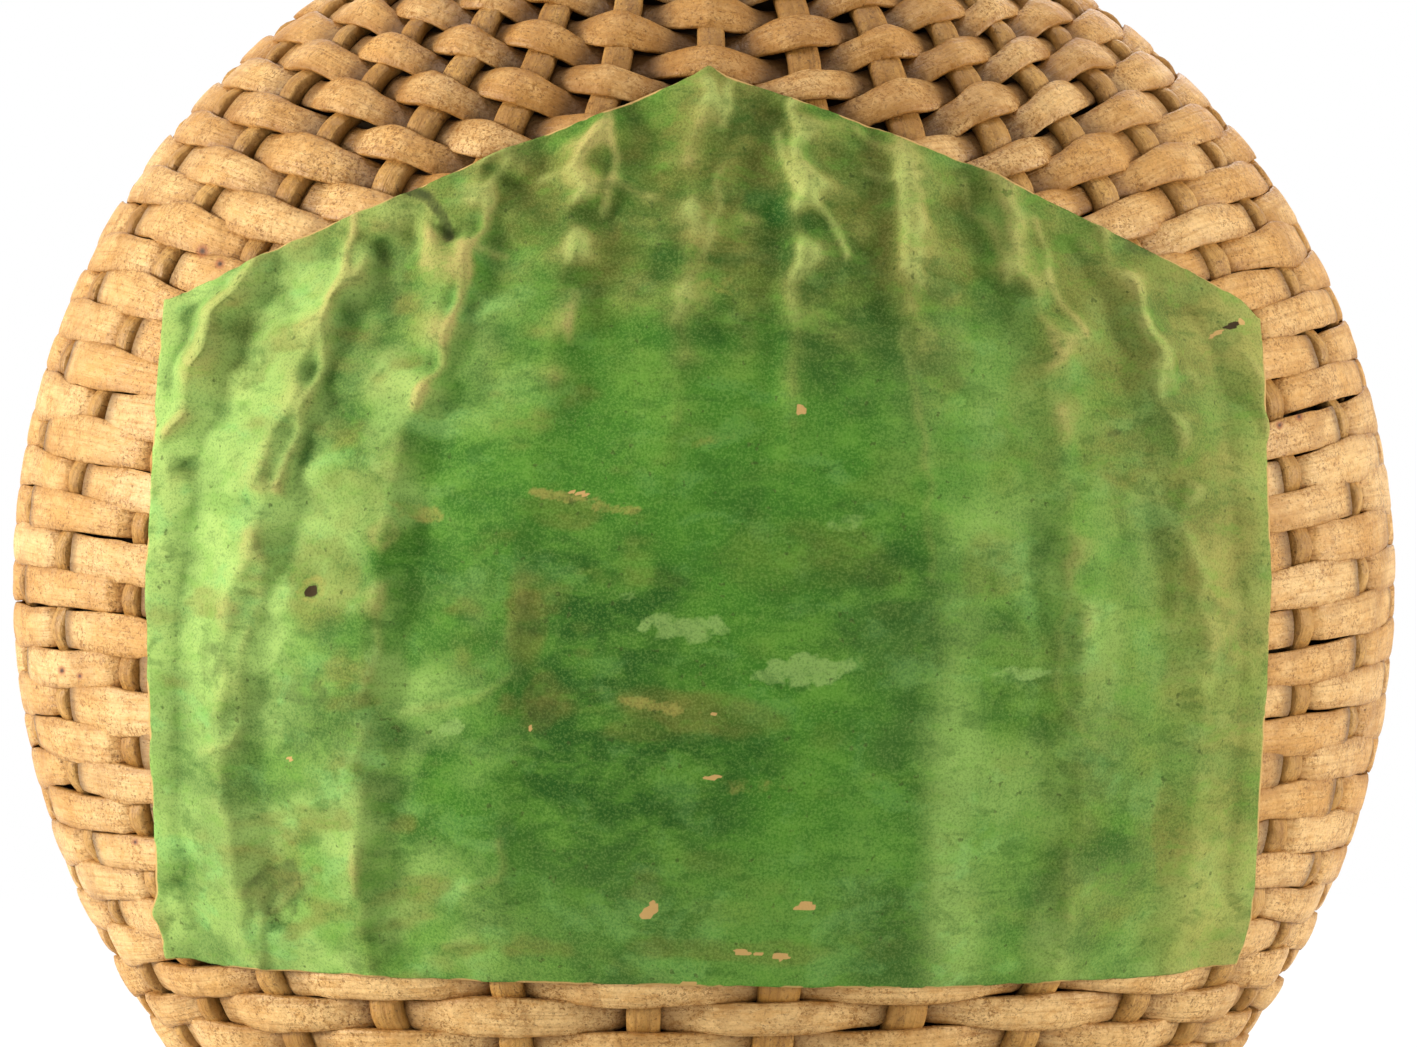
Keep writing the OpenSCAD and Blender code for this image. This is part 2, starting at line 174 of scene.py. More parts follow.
def half_depth(z):
    return reach(z, MID_B, MID_UP, MID_DOWN, NECK_R)


def outward(a, z):
    """The way out from the skin, as unit vectors."""
    around = skin(a + 0.5, z) - skin(a - 0.5, z)
    up = skin(a, z + 0.05) - skin(a, z - 0.05)
    return unit(np.cross(around, up))


PATH_LOW = -math.degrees(math.asin(min(1, (WIDEST_H - WEAVE_Z) / MID_DOWN)))
PATH_HIGH = math.degrees(math.asin(BEND_SHARE))
PATH_P = PATH_LOW + (PATH_HIGH - PATH_LOW) * np.arange(BODY_STEPS + 1) / BODY_STEPS
PATH_Z = np.concatenate([
    WIDEST_H + np.where(PATH_P < 0, MID_DOWN, MID_UP) * sind(PATH_P),
    BEND_Z + (NECK_Z - BEND_Z) * np.arange(1, BEND_STEPS + 1) / BEND_STEPS])

# Height by angle and share of the path, on an even grid
GRID_STEP = 2.0
GRID_A = np.arange(0, 361, GRID_STEP)
GRID_S = np.linspace(0, 1, 401)
GRID_RUNS = [run_along(skin(np.full(len(PATH_Z), angle), PATH_Z)) for angle in GRID_A]
GRID_Z = np.array([np.interp(GRID_S, run / run[-1], PATH_Z) for run in GRID_RUNS])
PATH_TOTAL = np.array([run[-1] for run in GRID_RUNS])
HOME = FIRST_ANGLE + STAKE_STEP * np.arange(STAKE_COUNT)
HOME_TOTAL = np.interp(HOME % 360, GRID_A, PATH_TOTAL)
PATH_MEAN = (HOME_TOTAL.min() + HOME_TOTAL.max()) / 2


def read_grid(grid, x, y):
    """Value of a grid at a place counted in its cells, eased between its four neighbours."""
    i = np.minimum(x.astype(int), grid.shape[0] - 2)
    j = np.minimum(y.astype(int), grid.shape[1] - 2)
    fx, fy = x - i, y - j
    return ((grid[i, j] * (1 - fx) + grid[i + 1, j] * fx) * (1 - fy)
            + (grid[i, j + 1] * (1 - fx) + grid[i + 1, j + 1] * fx) * fy)


def path_height(h, share):
    """Height on the path at angle h. Past the whole path it climbs the neck."""
    h, share = np.broadcast_arrays(np.asarray(h, float) % 360, np.asarray(share, float))
    z = read_grid(GRID_Z, h / GRID_STEP, clamp(share) * (len(GRID_S) - 1))
    return np.where(share <= 1, z, NECK_Z + (share - 1) * NECK_H)


def table(rows, x):
    return np.interp(x, [r[0] for r in rows], [r[1] for r in rows])


def own_angle(h, share):
    wave = sind(2 * h) - SPREAD_OVERTONE * sind(4 * h)
    wander = 0.55 * noise(h / 11.0, share * 6.0, seed=3) * step(share, 0.02, 0.1)
    return h + table(SPREAD, share) * wave + table(LEAN, share) + wander


def stake_angle(k, share):
    """Angle of stake k, which is a whole number and may be past one round."""
    own = own_angle(FIRST_ANGLE + k * STAKE_STEP, share)
    turns, stake_k = np.divmod(k, STAKE_COUNT)
    spare = (NECK_STAKES - 1) * (2 * STAKE_STEP - NECK_STEP)
    even = FIRST_ANGLE + NECK_STEP * stake_k / 2 + spare / 2 + table(LEAN, 1.0) + 360 * turns
    g = clamp((share - GATHER_SHARE) / (1 - GATHER_SHARE))
    return np.where(stake_k % 2 == 1, own, own + (even - own) * g)


def between_stakes(u, share):
    """Angle at position u, counted in stakes."""
    k = np.floor(u)
    low, high = stake_angle(k, share), stake_angle(k + 1, share)
    return low + (high - low) * (u - k)


def round_share(h, w):
    """Share of the path at angle h of the weaving that has climbed to share w of the rounds."""
    side = np.abs(sind(h))
    f = SMILE_ROUND * side ** 2 + (1 - SMILE_ROUND) * side
    bump = np.power(np.maximum(w, 0), SMILE_POWER) * np.maximum(0, 1 - w) / SMILE_AT_PEAK
    wander = 0.0032 * noise((h % 360) / 18.0, w * 13.0, seed=4) * step(w, 0.03, 0.12)
    wander = wander * step(-w, -CUT_SHARE, -CUT_SHARE + 0.08) * step(np.abs(h % 360 - 180), -1, 0)
    wander = wander * (1 - step(np.abs(h % 360 - 180), 165, 180))
    return w + SMILE_SHARE * bump * (f - 0.5) + wander


def slender(share):
    """How thin stakes and strips are at a share of the path, from 1 down to the neck's."""
    return 1 - (1 - NECK_STAKE_SHARE) * clamp((share - THINNING_SHARE) / (1 - THINNING_SHARE))


# ---- Meshes -----------------------------------------------------------------------------

def make_piece(name, points, faces, material, body, replaces, fields=None):
    """A mesh piece from points in millimetres, with fields of numbers on its points."""
    mesh = bpy.data.meshes.new(name)
    mesh.from_pydata((np.asarray(points, float) * MM).tolist(), [],
                     [f.tolist() if isinstance(f, np.ndarray) else list(f) for f in faces])
    for key, values in (fields or {}).items():
        values = np.asarray(values, np.float32)
        kind = "FLOAT" if values.ndim == 1 else "FLOAT_VECTOR"
        layer = mesh.attributes.new(key, kind, "POINT")
        layer.data.foreach_set("value" if values.ndim == 1 else "vector", values.ravel())
    mesh.polygons.foreach_set("use_smooth", np.full(len(mesh.polygons), True))
    mesh.update()
    mesh.materials.append(material)
    piece = bpy.data.objects.new(name, mesh)
    bpy.context.scene.collection.objects.link(piece)
    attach(piece, body)
    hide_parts(*replaces)
    return piece


def ring_faces(m, n):
    """Quads between m rings of n points each, as an array of vertex numbers."""
    i, j = np.arange(m - 1)[:, None] * n, np.arange(n)
    a, b = i + j, i + (j + 1) % n
    return np.stack([a, b, b + n, a + n], axis=-1).reshape(-1, 4)


def swept(rings):
    """Points and faces of a tube with closed ends through rings, an array (ring, point, 3)."""
    m, n = rings.shape[:2]
    ends = [list(range(n))[::-1], [(m - 1) * n + j for j in range(n)]]
    return rings.reshape(-1, 3), [*ring_faces(m, n).tolist(), *ends]


def looped(rings):
    """Points and faces of a tube whose last ring joins its first one."""
    m, n = rings.shape[:2]
    i, last = np.arange(n), (m - 1) * n
    close = np.stack([last + i, last + (i + 1) % n, (i + 1) % n, i], axis=-1)
    return rings.reshape(-1, 3), np.concatenate([ring_faces(m, n), close])


def joined(tubes):
    """Points, faces and fields of several tubes as one mesh."""
    points, faces, first = [], [], 0
    for tube, sides, _ in tubes:
        points.append(tube)
        faces += [[n + first for n in face] for face in sides]
        first += len(tube)
    fields = {key: np.concatenate([made[key] for _, _, made in tubes]) for key in tubes[0][2]}
    return np.concatenate(points), faces, fields


def willow_fields(shape, grain, tone, depth, dirt):
    """What the willow's material reads at each point of a tube. grain is the distance along the
    piece, the one across it, and a number that sets it apart from its neighbours."""
    grain = np.stack([np.broadcast_to(part, shape) for part in grain], axis=-1) * MM
    flat = {"tone": tone, "depth": depth, "dirt": dirt}
    return {"grain": grain.reshape(-1, 3),
            **{key: np.broadcast_to(part, shape).reshape(-1) for key, part in flat.items()}}


# ---- Materials --------------------------------------------------------------------------

class Nodes:
    """Short names for the shader nodes that the materials are built from."""

    def __init__(self, name):
        self.material = bpy.data.materials.new(name)
        self.material.use_nodes = True
        self.tree = self.material.node_tree
        self.shader = self.tree.nodes["Principled BSDF"]
        self.output = self.tree.nodes["Material Output"]

    def add(self, kind, **settings):
        node = self.tree.nodes.new(kind)
        for key, value in settings.items():
            setattr(node, key, value)
        return node

    def put(self, socket, value):
        if isinstance(value, bpy.types.NodeSocket):
            self.tree.links.new(value, socket)
        elif isinstance(value, tuple) and len(value) == 3 and socket.type == "RGBA":
            socket.default_value = (*value, 1.0)
        else:
            socket.default_value = value

    def value(self, name, output="Fac"):
        return self.add("ShaderNodeAttribute", attribute_name=name).outputs[output]

    def place(self):
        return self.add("ShaderNodeTexCoord").outputs["Object"]

    def stretch(self, vector, scale):
        node = self.add("ShaderNodeMapping")
        self.settle(node, Vector=vector, Scale=scale)
        return node.outputs["Vector"]

    def noise(self, vector, scale, detail=3.0, rough=0.55, twist=0.0):
        node = self.add("ShaderNodeTexNoise")
        self.settle(node, Vector=vector, Scale=scale, Detail=detail, Roughness=rough,
                    Distortion=twist)
        return node.outputs["Fac"]

    def window(self, value, low, high, to_low=0.0, to_high=1.0):
        """Maps low..high to to_low..to_high, smoothly and clamped."""
        node = self.add("ShaderNodeMapRange", interpolation_type="SMOOTHSTEP")
        self.settle(node, Value=value, From_Min=low, From_Max=high, To_Min=to_low,
                    To_Max=to_high)
        return node.outputs["Result"]

    def math(self, kind, a, b):
        node = self.add("ShaderNodeMath", operation=kind)
        self.put(node.inputs[0], a)
        self.put(node.inputs[1], b)
        return node.outputs[0]

    def times(self, a, b):
        return self.math("MULTIPLY", a, b)

    def plus(self, a, b):
        return self.math("ADD", a, b)

    def mix(self, share, a, b):
        node = self.add("ShaderNodeMix", data_type="RGBA")
        self.put(node.inputs["Factor"], share)
        self.put(node.inputs[6], a)
        self.put(node.inputs[7], b)
        return node.outputs[2]

    def coat(self, under, where, strength, colour):
        """A colour laid over another where a mask says so, at the given strength."""
        return self.mix(self.times(where, strength), under, colour)

    def bump(self, height, distance, strength):
        node = self.add("ShaderNodeBump")
        self.settle(node, Height=height, Distance=distance, Strength=strength)
        return node.outputs["Normal"]

    def settle(self, node, **inputs):
        """Sets or links a node's inputs, each named with _ for a space."""
        for key, value in inputs.items():
            self.put(node.inputs[key.replace("_", " ")], value)

    def set(self, **inputs):
        self.settle(self.shader, **inputs)


def srgb(r, g, b):
    """A colour written as on screen, from 0 to 255, in the renderer's linear values."""
    c = np.array([r, g, b]) / 255
    return tuple(np.where(c <= 0.04045, c / 12.92, ((c + 0.055) / 1.055) ** 2.4).tolist())


# Knots in the strips of the front: centre (x, z) and radius
KNOTS = [((-51.0, 93.2), 1.0), ((-49.0, 91.8), 0.8), ((-65.9, 50.4), 0.7), ((-63.8, 49.9), 0.5),
         ((29.9, 104.8), 0.8), ((58.5, 75.5), 0.6), ((60.7, 76.4), 0.6), ((-58.0, 33.0), 0.5)]


def willow(name, light, middle, dark, deep, streaks, speckles=1.0, knots=()):
    """Peeled willow: fibres along the strip, dark pores, and dirt and painted shade where it goes
    in.
    """
    m = Nodes(name)
    grain, place = m.value("grain", "Vector"), m.place()
    tone, depth, dirt = m.value("tone"), m.value("depth"), m.value("dirt")
    broad = m.noise(place, 75, 3, 0.55)
    mottle = m.noise(m.stretch(grain, (330, 700, 700)), 1.0, 5, 0.7)
    fibre = m.noise(m.stretch(grain, (80, 2300, 2300)), 1.0, 4, 0.6, 0.3)
    base = m.mix(m.window(m.plus(m.times(broad, 0.5), m.times(tone, 0.5)), 0.36, 0.64),
                 middle, light)
    base = m.coat(base, m.window(mottle, 0.47, 0.62), 0.6, middle)
    base = m.coat(base, m.window(mottle, 0.55, 0.36), 0.45, light)
    ochre = m.window(m.noise(place, 115, 4, 0.65, 0.4), 0.50, 0.68)
    base = m.coat(base, ochre, 0.42, dark)
    base = m.coat(base, m.window(fibre, 0.45, 0.70), streaks, dark)
    patches = m.window(m.noise(place, 210, 5, 0.75), 0.42, 0.60)
    many = m.plus(m.times(patches, 0.8), m.plus(m.times(dirt, 0.65), 0.08))
    fine = m.window(m.noise(place, 1500, 6, 0.9), 0.49, 0.60)
    grit = m.window(m.noise(place, 3400, 2, 0.5), 0.55, 0.64)
    pores = m.window(m.noise(m.stretch(grain, (2200, 3400, 3400)), 1.0, 3, 0.6), 0.62, 0.69)
    brown = m.mix(0.5, dark, deep)
    for specks, strength, colour in ((fine, 0.75, dark), (grit, 0.60, brown), (pores, 0.65, brown)):
        base = m.coat(base, m.times(specks, many), strength * speckles, colour)
    soil = m.window(m.noise(place, 170, 5, 0.75), 0.34, 0.60, 0.30, 1.0)
    # Dirt, and on strips also painted shade along their edges and where they go in; the depth coat
    # is painted shade in recesses
    base = m.coat(base, m.times(dirt, soil), 0.85, dark)
    base = m.coat(base, m.window(depth, 0.0, 1.0), 0.78, deep)
    # A knot is a brown patch with a dark eye, and lies on the front only
    front = m.add("ShaderNodeSeparateXYZ")
    m.put(front.inputs[0], place)
    flat = m.stretch(place, (1.0, 0.0, 1.0))
    for (x, z), radius in knots:
        away = m.add("ShaderNodeVectorMath", operation="DISTANCE")
        m.put(away.inputs[0], flat)
        away.inputs[1].default_value = (x * MM, 0.0, z * MM)
        core = m.window(away.outputs["Value"], radius * MM, 0.35 * radius * MM)
        core = m.times(core, m.window(front.outputs["Y"], 0.0, -0.004))
        base = m.coat(base, core, 0.8, srgb(150, 84, 40))
        eye = m.window(away.outputs["Value"], 0.5 * radius * MM, 0.1 * radius * MM)
        base = m.coat(base, m.times(eye, core), 0.9, deep)
    height = m.plus(m.times(fibre, 0.45), m.times(m.noise(place, 800, 4), 0.9))
    height = m.math("SUBTRACT", height, m.times(pores, 0.35))
    m.set(Base_Color=base, Roughness=m.window(broad, 0.3, 0.7, 0.62, 0.46),
          Normal=m.bump(height, 0.00040, 0.9), Specular_IOR_Level=0.35)
    return m.material


STRIP_LOOK = willow("strip_willow", srgb(235, 194, 130), srgb(209, 157, 86), srgb(148, 97, 29),
                    srgb(62, 38, 14), streaks=0.38, knots=KNOTS)
STAKE_LOOK = willow("stake_willow", srgb(208, 162, 90), srgb(182, 132, 60), srgb(128, 84, 30),
                    srgb(56, 34, 14), streaks=0.5, speckles=0.7)
BORDER_LOOK = willow("border_willow", srgb(220, 174, 114), srgb(194, 144, 84), srgb(138, 92, 46),
                     srgb(56, 34, 14), streaks=0.45, speckles=0.8)


# ---- Weave ------------------------------------------------------------------------------

# Rings of a strip on its way from one stake to the next, and points across its outer face
SAMPLES, OUTER_POINTS = 18, 9
# At the sides and round the lower half, where the relief is near 0, the strips are flat and the
# stakes give way to them. On the upper front and back, where it is 1, the strips bend most.
SWING_FLAT, SWING_STEEP = 1.15, 1.60
GIVE_FLAT, GIVE_STEEP = 0.64, 0.20
# A strip's thickness on the whole
STRIP_MID = 1.28
# The flat parts lie further out from the glass, so that the outline is the solids'
LIFT = 0.72
# How far a strip goes on past its last crossing, in stakes
END_REACH, END_STUB = 1.0, 0.12
# How far the last round goes up under the collar, and how thick and round the neck's strips are
COLLAR_TUCK, NECK_THICKER, NECK_RELIEF = 0.9, 1.1, 0.8
# How far the widest place of a leaf-shaped strip lies outward of the stake, in stakes
SKEW = -0.22
# Height of the small waves in a strip's faces
RIPPLE = 0.05
# Angles of the points round a stick
RING = np.arange(12) * 2 * math.pi / 12
# Random values that a strip's hidden ends use: before the first crossing, and in all
SPARE_BEFORE, SPARE_VALUES = 3, 8
# Points of strips and stakes, gathered for the label that lies on them
WEAVE_POINTS = []
random = np.random.default_rng(29)


def per_crossing(count, low, high):
    return random.uniform(low, high, count + SPARE_VALUES)


def along(values, u):
    """Eases from one crossing's value to the next one's."""
    x = clamp(u + SPARE_BEFORE, 0, len(values) - 1.001)
    i = x.astype(int)
    f = x - i
    f = f * f * (3 - 2 * f)
    return values[i] * (1 - f) + values[i + 1] * f


def strip_section(width, thick, edge, power):
    """Outline of a split strip, as x, height and share of its half width: a rounded outer face
    and an almost flat inner one. The sizes are columns with a row for each ring."""
    v = np.sin(np.linspace(-math.pi / 2, math.pi / 2, OUTER_POINTS))
    back = v[1:-1][::-1]
    outer = thick / 2 - (thick - edge) * np.abs(v) ** power
    inner = -thick / 2 + 0.12 * thick * np.abs(back) ** 2
    v = np.concatenate([v, back])
    return v * width / 2, np.concatenate([outer, inner], axis=1), v


def weave_rings(u, centre, normal, pitch, over, thin, relief, wide, tilt, shift, seed, number,
                sunk=0.0, dome=1.3):
    """Rings of a strip, its grain, and the share of its half width for each point of a ring.
    over runs from 1 outside a stake to -1 inside it. relief is 0 where the strips are flat and
    close together and 1 where they are rounded and leaf-shaped. dome sets how pointed a leaf is."""
    swing = SWING_FLAT + (SWING_STEEP - SWING_FLAT) * relief
    curve = centre + (swing * thin * over + LIFT * (1 - relief) - sunk)[:, None] * normal
    way = unit(np.gradient(curve, axis=0))
    side = unit(np.cross(normal, way))
    up = unit(np.cross(way, side))
    phase = (u + 1) % 2 - 1
    around = np.arctan2(centre[:, 0], -centre[:, 1])
    phase = phase + SKEW * np.sin(2 * around) * (1 - phase ** 2)
    away = np.abs(phase)
    low = 1 - step(centre[:, 2], 12, 34)
    # Half outlines of a leaf, above and below, and the nearly even width of a flat strip
    upper = 0.62 * np.maximum(0, 1 - (away / 0.97) ** dome)
    lower = 0.70 * np.sqrt(np.maximum(0, 1 - (away / 0.88) ** 2))
    leaf, bow = np.maximum(upper + lower, 0.98), (upper - lower) / 2 * step(-away, -0.95, -0.6)
    brick = 1.08 + 0.08 * (1 - step(away, 0.0, 0.45)) - 0.06 * step(away, 0.74, 0.97) - 0.04 * low
    run = run_along(curve)
    width = (pitch * wide * (brick + (leaf - brick) * relief)
             * (1 + 0.045 * noise(run / 2.3, seed=seed) + 0.06 * noise(run / 7.0, seed=seed + 1)))
    thick = (STRIP_MID + 0.12 * noise(run / 6.0, seed=seed + 2)) * thin
    bulge = thin * (0.24 + 0.28 * relief)
    x, t, v = strip_section(width[:, None], thick[:, None], (thick - bulge)[:, None],
                            (4.2 - 0.9 * relief)[:, None])
    angle = (tilt * clamp(over) * (0.15 + 0.85 * relief))[:, None]
    across = side * np.cos(angle) + up * np.sin(angle)
    lift = up * np.cos(angle) - side * np.sin(angle)
    middle = curve + side * ((shift + bow * relief * (1 + 5 * shift)) * pitch)[:, None]
    t = t + RIPPLE * noise(run[:, None] / 1.7, v * 1.5, seed=seed + 3)
    rings = middle[:, None] + across[:, None] * x[:, :, None] + lift[:, None] * t[:, :, None]
    return rings, (run[:, None], x, 40.0 * number), v


def outer_end(u, centre):
    """Runs to 1 where a strip goes in behind the next stake on the side away from the middle."""
    sideways = clamp(centre[:, 0] / 6, -1, 1) * clamp(-centre[:, 1] / 6, -1, 1)
    return step(((u + 1) % 2 - 1) * sideways, 0.58, 0.82)


def strip_piece(name, node, strip, over, tone, dirt, shadow=0.0):
    """A strip's piece, with dirt and painted shade along its edges and where it goes in."""
    rings, grain, v = strip
    # Painted shade: depth darkens where the strip goes in and, with shadow, beside a stake; the
    # edge and going-in terms below are partly dirt, partly painted shade
    depth = np.maximum(step(-over, -0.78, 0.75), shadow)
    dirt = clamp(dirt[:, None] + 0.75 * np.abs(v) ** 3 + 0.55 * step(-over, -0.80, 0.2)[:, None])
    fields = willow_fields(rings.shape[:2], grain, tone[:, None], depth[:, None], dirt)
    points, faces = swept(rings)
    make_piece(name, points, faces, STRIP_LOOK, "bottle", [node], fields)


def relief_at(a, share):
    """How rounded and deep the weave is: 0 round the lower half, up to 1 on the upper front and
    back, and a little near the foot."""
    return np.maximum(step(share, 0.44, 0.76) * (0.06 + 0.94 * np.abs(cosd(a)) ** 1.15),
                      0.36 * (1 - step(share, 0.08, 0.20)))


def peaked(phase, power, fold=0.0, flat=0.0):
    """Runs from 1 to -1 like a cosine. Power below 1 flattens its crests, fold creases them, and
    flat keeps the strip level until it dives under the next stake."""
    c = np.cos(math.pi * phase)
    wave = np.sign(c) * np.abs(c) ** power
    near = np.abs(phase - np.round(phase))
    ridge = np.where(np.round(phase) % 2 == 0, 1, -1) * (1 - 2 * near)
    wave = wave + (ridge - wave) * np.where(c > 0, fold, 0)
    away = np.abs((phase + 1) % 2 - 1)
    level = 1 - 0.16 * away ** 2 - 1.84 * step(away, 0.76, 0.98)
    return wave + (level - wave) * flat


def dirt_at(points):
    """Dirt gathers on the upper shoulder and the neck, most of all in front and behind."""
    middle = step(-np.abs(points[:, 0]), -48, -15)
    return 0.12 + (0.22 + 0.30 * middle) * step(points[:, 2], 82, 112)


# Outline of the label: points (x, z) along its upper and lower edges, (z, x) along its sides
LABEL_TOP = [(-54.9, 88.3), (-47.9, 91.4), (-35.5, 96.7), (-26.9, 100.1), (-20.4, 102.9),
             (-9.4, 107.0), (-1.4, 110.4), (0.3, 111.5), (2.2, 110.4), (17.7, 105.0), (28.2, 101.0),
             (38.9, 95.9), (49.3, 91.2), (55.0, 88.2), (56.8, 86.4)]
LABEL_LOW = [(-54.5, 21.2), (-51.5, 20.6), (-45.9, 20.4), (-34.6, 20.1), (-20.5, 19.8), (6.5, 19.5),
             (24.6, 19.1), (32.4, 19.3), (44.3, 19.5), (51.0, 19.8), (55.1, 20.2)]
LABEL_LEFT = [(20, -54.2), (24, -55.7), (60, -56.4), (88.4, -54.9)]
LABEL_RIGHT = [(20, 54.6), (25, 56.0), (60, 57.4), (86.4, 56.7)]


def under_label(points):
    """1 where the label hides the weave, 0 where the weave shows."""
    x, z = points[:, 0], points[:, 2]
    inside = np.minimum(z - table(LABEL_LOW, x), table(LABEL_TOP, x) - z)
    inside = np.minimum(inside, np.minimum(x - table(LABEL_LEFT, z), table(LABEL_RIGHT, z) - x))
    return step(inside, 1.5, 6.0) * (points[:, 1] < 0)


def strip_run(first, last):
    """Positions along a strip, counted in stakes. Its ends lie hidden under a stake: it goes on
    from a stake that it covers to the next one, and stops behind a stake that covers it."""
    begin = first - (END_REACH if first % 2 == 0 else END_STUB)
    end = last + (END_REACH if last % 2 == 0 else END_STUB)
    return np.linspace(begin, end, int((end - begin) * SAMPLES) + 1)


def body_strips():
    """The spiral round the body: over one stake and under the next, cut into strips."""
    count = CROSSINGS
    wide = per_crossing(count, 0.86, 1.13)
    tilt = np.radians(per_crossing(count, -12, 12))
    shift = per_crossing(count, -0.09, 0.09)
    dome = per_crossing(count, 0.95, 2.0)
    power = per_crossing(count, 0.5, 0.8)
    fold = per_crossing(count, 0.0, 1.0)
    tone = per_crossing(count, 0.0, 1.0)
    per_strip = math.ceil(count / STRIP_COUNT)
    for number in range(STRIP_COUNT):
        first = number * per_strip
        u = strip_run(first, min(count, first + per_strip) - 1)
        h = FIRST_ANGLE + u * STAKE_STEP
        w = FIRST_ROUND + u / STAKE_COUNT / BODY_ROUNDS
        share = clamp(round_share(h, w), 0.0)
        a, z = between_stakes(u, share), path_height(h, share)
        centre, normal = skin(a, z), outward(a, z)
        # The strips are as wide as the way up to the next round
        next_share = round_share(h, w + 1 / BODY_ROUNDS)
        above = skin(between_stakes(u, next_share), path_height(h, next_share))
        climb = unit(np.cross(normal, unit(np.gradient(centre, axis=0))))
        pitch = np.abs(np.sum((above - centre) * climb, axis=1))
        relief = relief_at(a, share)
        hidden = under_label(centre)
        over = peaked(u, along(power, u) + 0.3 * relief + 0.4 * hidden,
                      np.maximum(along(fold, u) * relief, 0.5 * hidden),
                      (1 - relief) ** 1.5 * (1 - hidden))
        strip = weave_rings(u, centre, normal, pitch, over * (1 - 0.1 * hidden), slender(share),
                            relief, along(wide, u), along(tilt, u), along(shift, u),
                            100 + 10 * number, number, LIFT * hidden, along(dome, u))
        WEAVE_POINTS.append(with_halves(strip[0]))
        # The lowest rounds are painted lighter, a painted light against the shade where the body
        # curves under; the last argument paints the shadow in the slot beside a stake at the sides
        tones_with_painted_light = (0.3 + 0.4 * along(tone, u) + 0.2 * noise(u / 9.0, seed=5)
                 + 0.3 * (1 - step(share, 0.06, 0.20)))
        strip_piece(f"woven_strip_{number + 1}", f"weaver_{number + 1}", strip, over, tones_with_painted_light,
                    dirt_at(centre), 0.9 * outer_end(u, centre) * (1 - relief))


def neck_strips():
    """The spiral round the neck's stakes, up to the collar."""
    count = NECK_CROSSINGS
    wide = per_crossing(count, 0.92, 1.08)
    tone = per_crossing(count, 0.0, 1.0)
    slope_length = (1 - NECK_FIRST) * PATH_MEAN
    pitch_mean = (slope_length + NECK_H) / (NECK_ROUNDS + STRIP_CLEAR)
    per_strip = math.ceil(count / 2)
    for number in range(2):
        first = number * per_strip
        c = strip_run(first, first + per_strip - 1 + number * (NECK_STAKES - 2))
        h = FIRST_ANGLE + (2 * c % (2 * NECK_STAKES)) * STAKE_STEP
        run = c / NECK_STAKES * pitch_mean
        # The last round fills what is left below the collar, narrower and narrower
        below = run - pitch_mean / 2
        left = slope_length + NECK_H + COLLAR_TUCK - below
        final = step(c, count - 1, count + 1)
        run = run + (below + left / 2 - run) * final
        narrow = 1 + (clamp(left / pitch_mean, 0.2, 1.1) - 1) * final
        share = np.where(run < slope_length,
                         round_share(h, np.minimum(1, NECK_FIRST + run / PATH_MEAN)),
                         1 + (run - slope_length) / NECK_H)
        share = np.maximum(share, NECK_FIRST - 0.02)
        # From one neck stake to the next, past one round too
        k = 2 * np.floor(c)
        after = (k + 2) % (2 * NECK_STAKES)
        turn = np.floor(c / NECK_STAKES) * 360
        low = stake_angle(k % (2 * NECK_STAKES), share) + turn
        high = stake_angle(after, share) + turn + np.where(after == 0, 360, 0)
        a, z = low + (high - low) * (c - np.floor(c)), path_height(h, share)
        centre = skin(a, z)
        over = peaked(c, 0.85)
        none = np.zeros(len(c))
        strip = weave_rings(c, centre, outward(a, z), pitch_mean * NECK_WIDTH_SHARE * narrow, over,
                            slender(share) * NECK_THICKER, none + NECK_RELIEF, along(wide, c),
                            none, none, 400 + 10 * number, 20 + number)
        strip_piece(f"neck_strip_{number + 1}", f"neck_weaver_{number + 1}", strip, over,
                    0.3 + 0.3 * along(tone, c), dirt_at(centre))


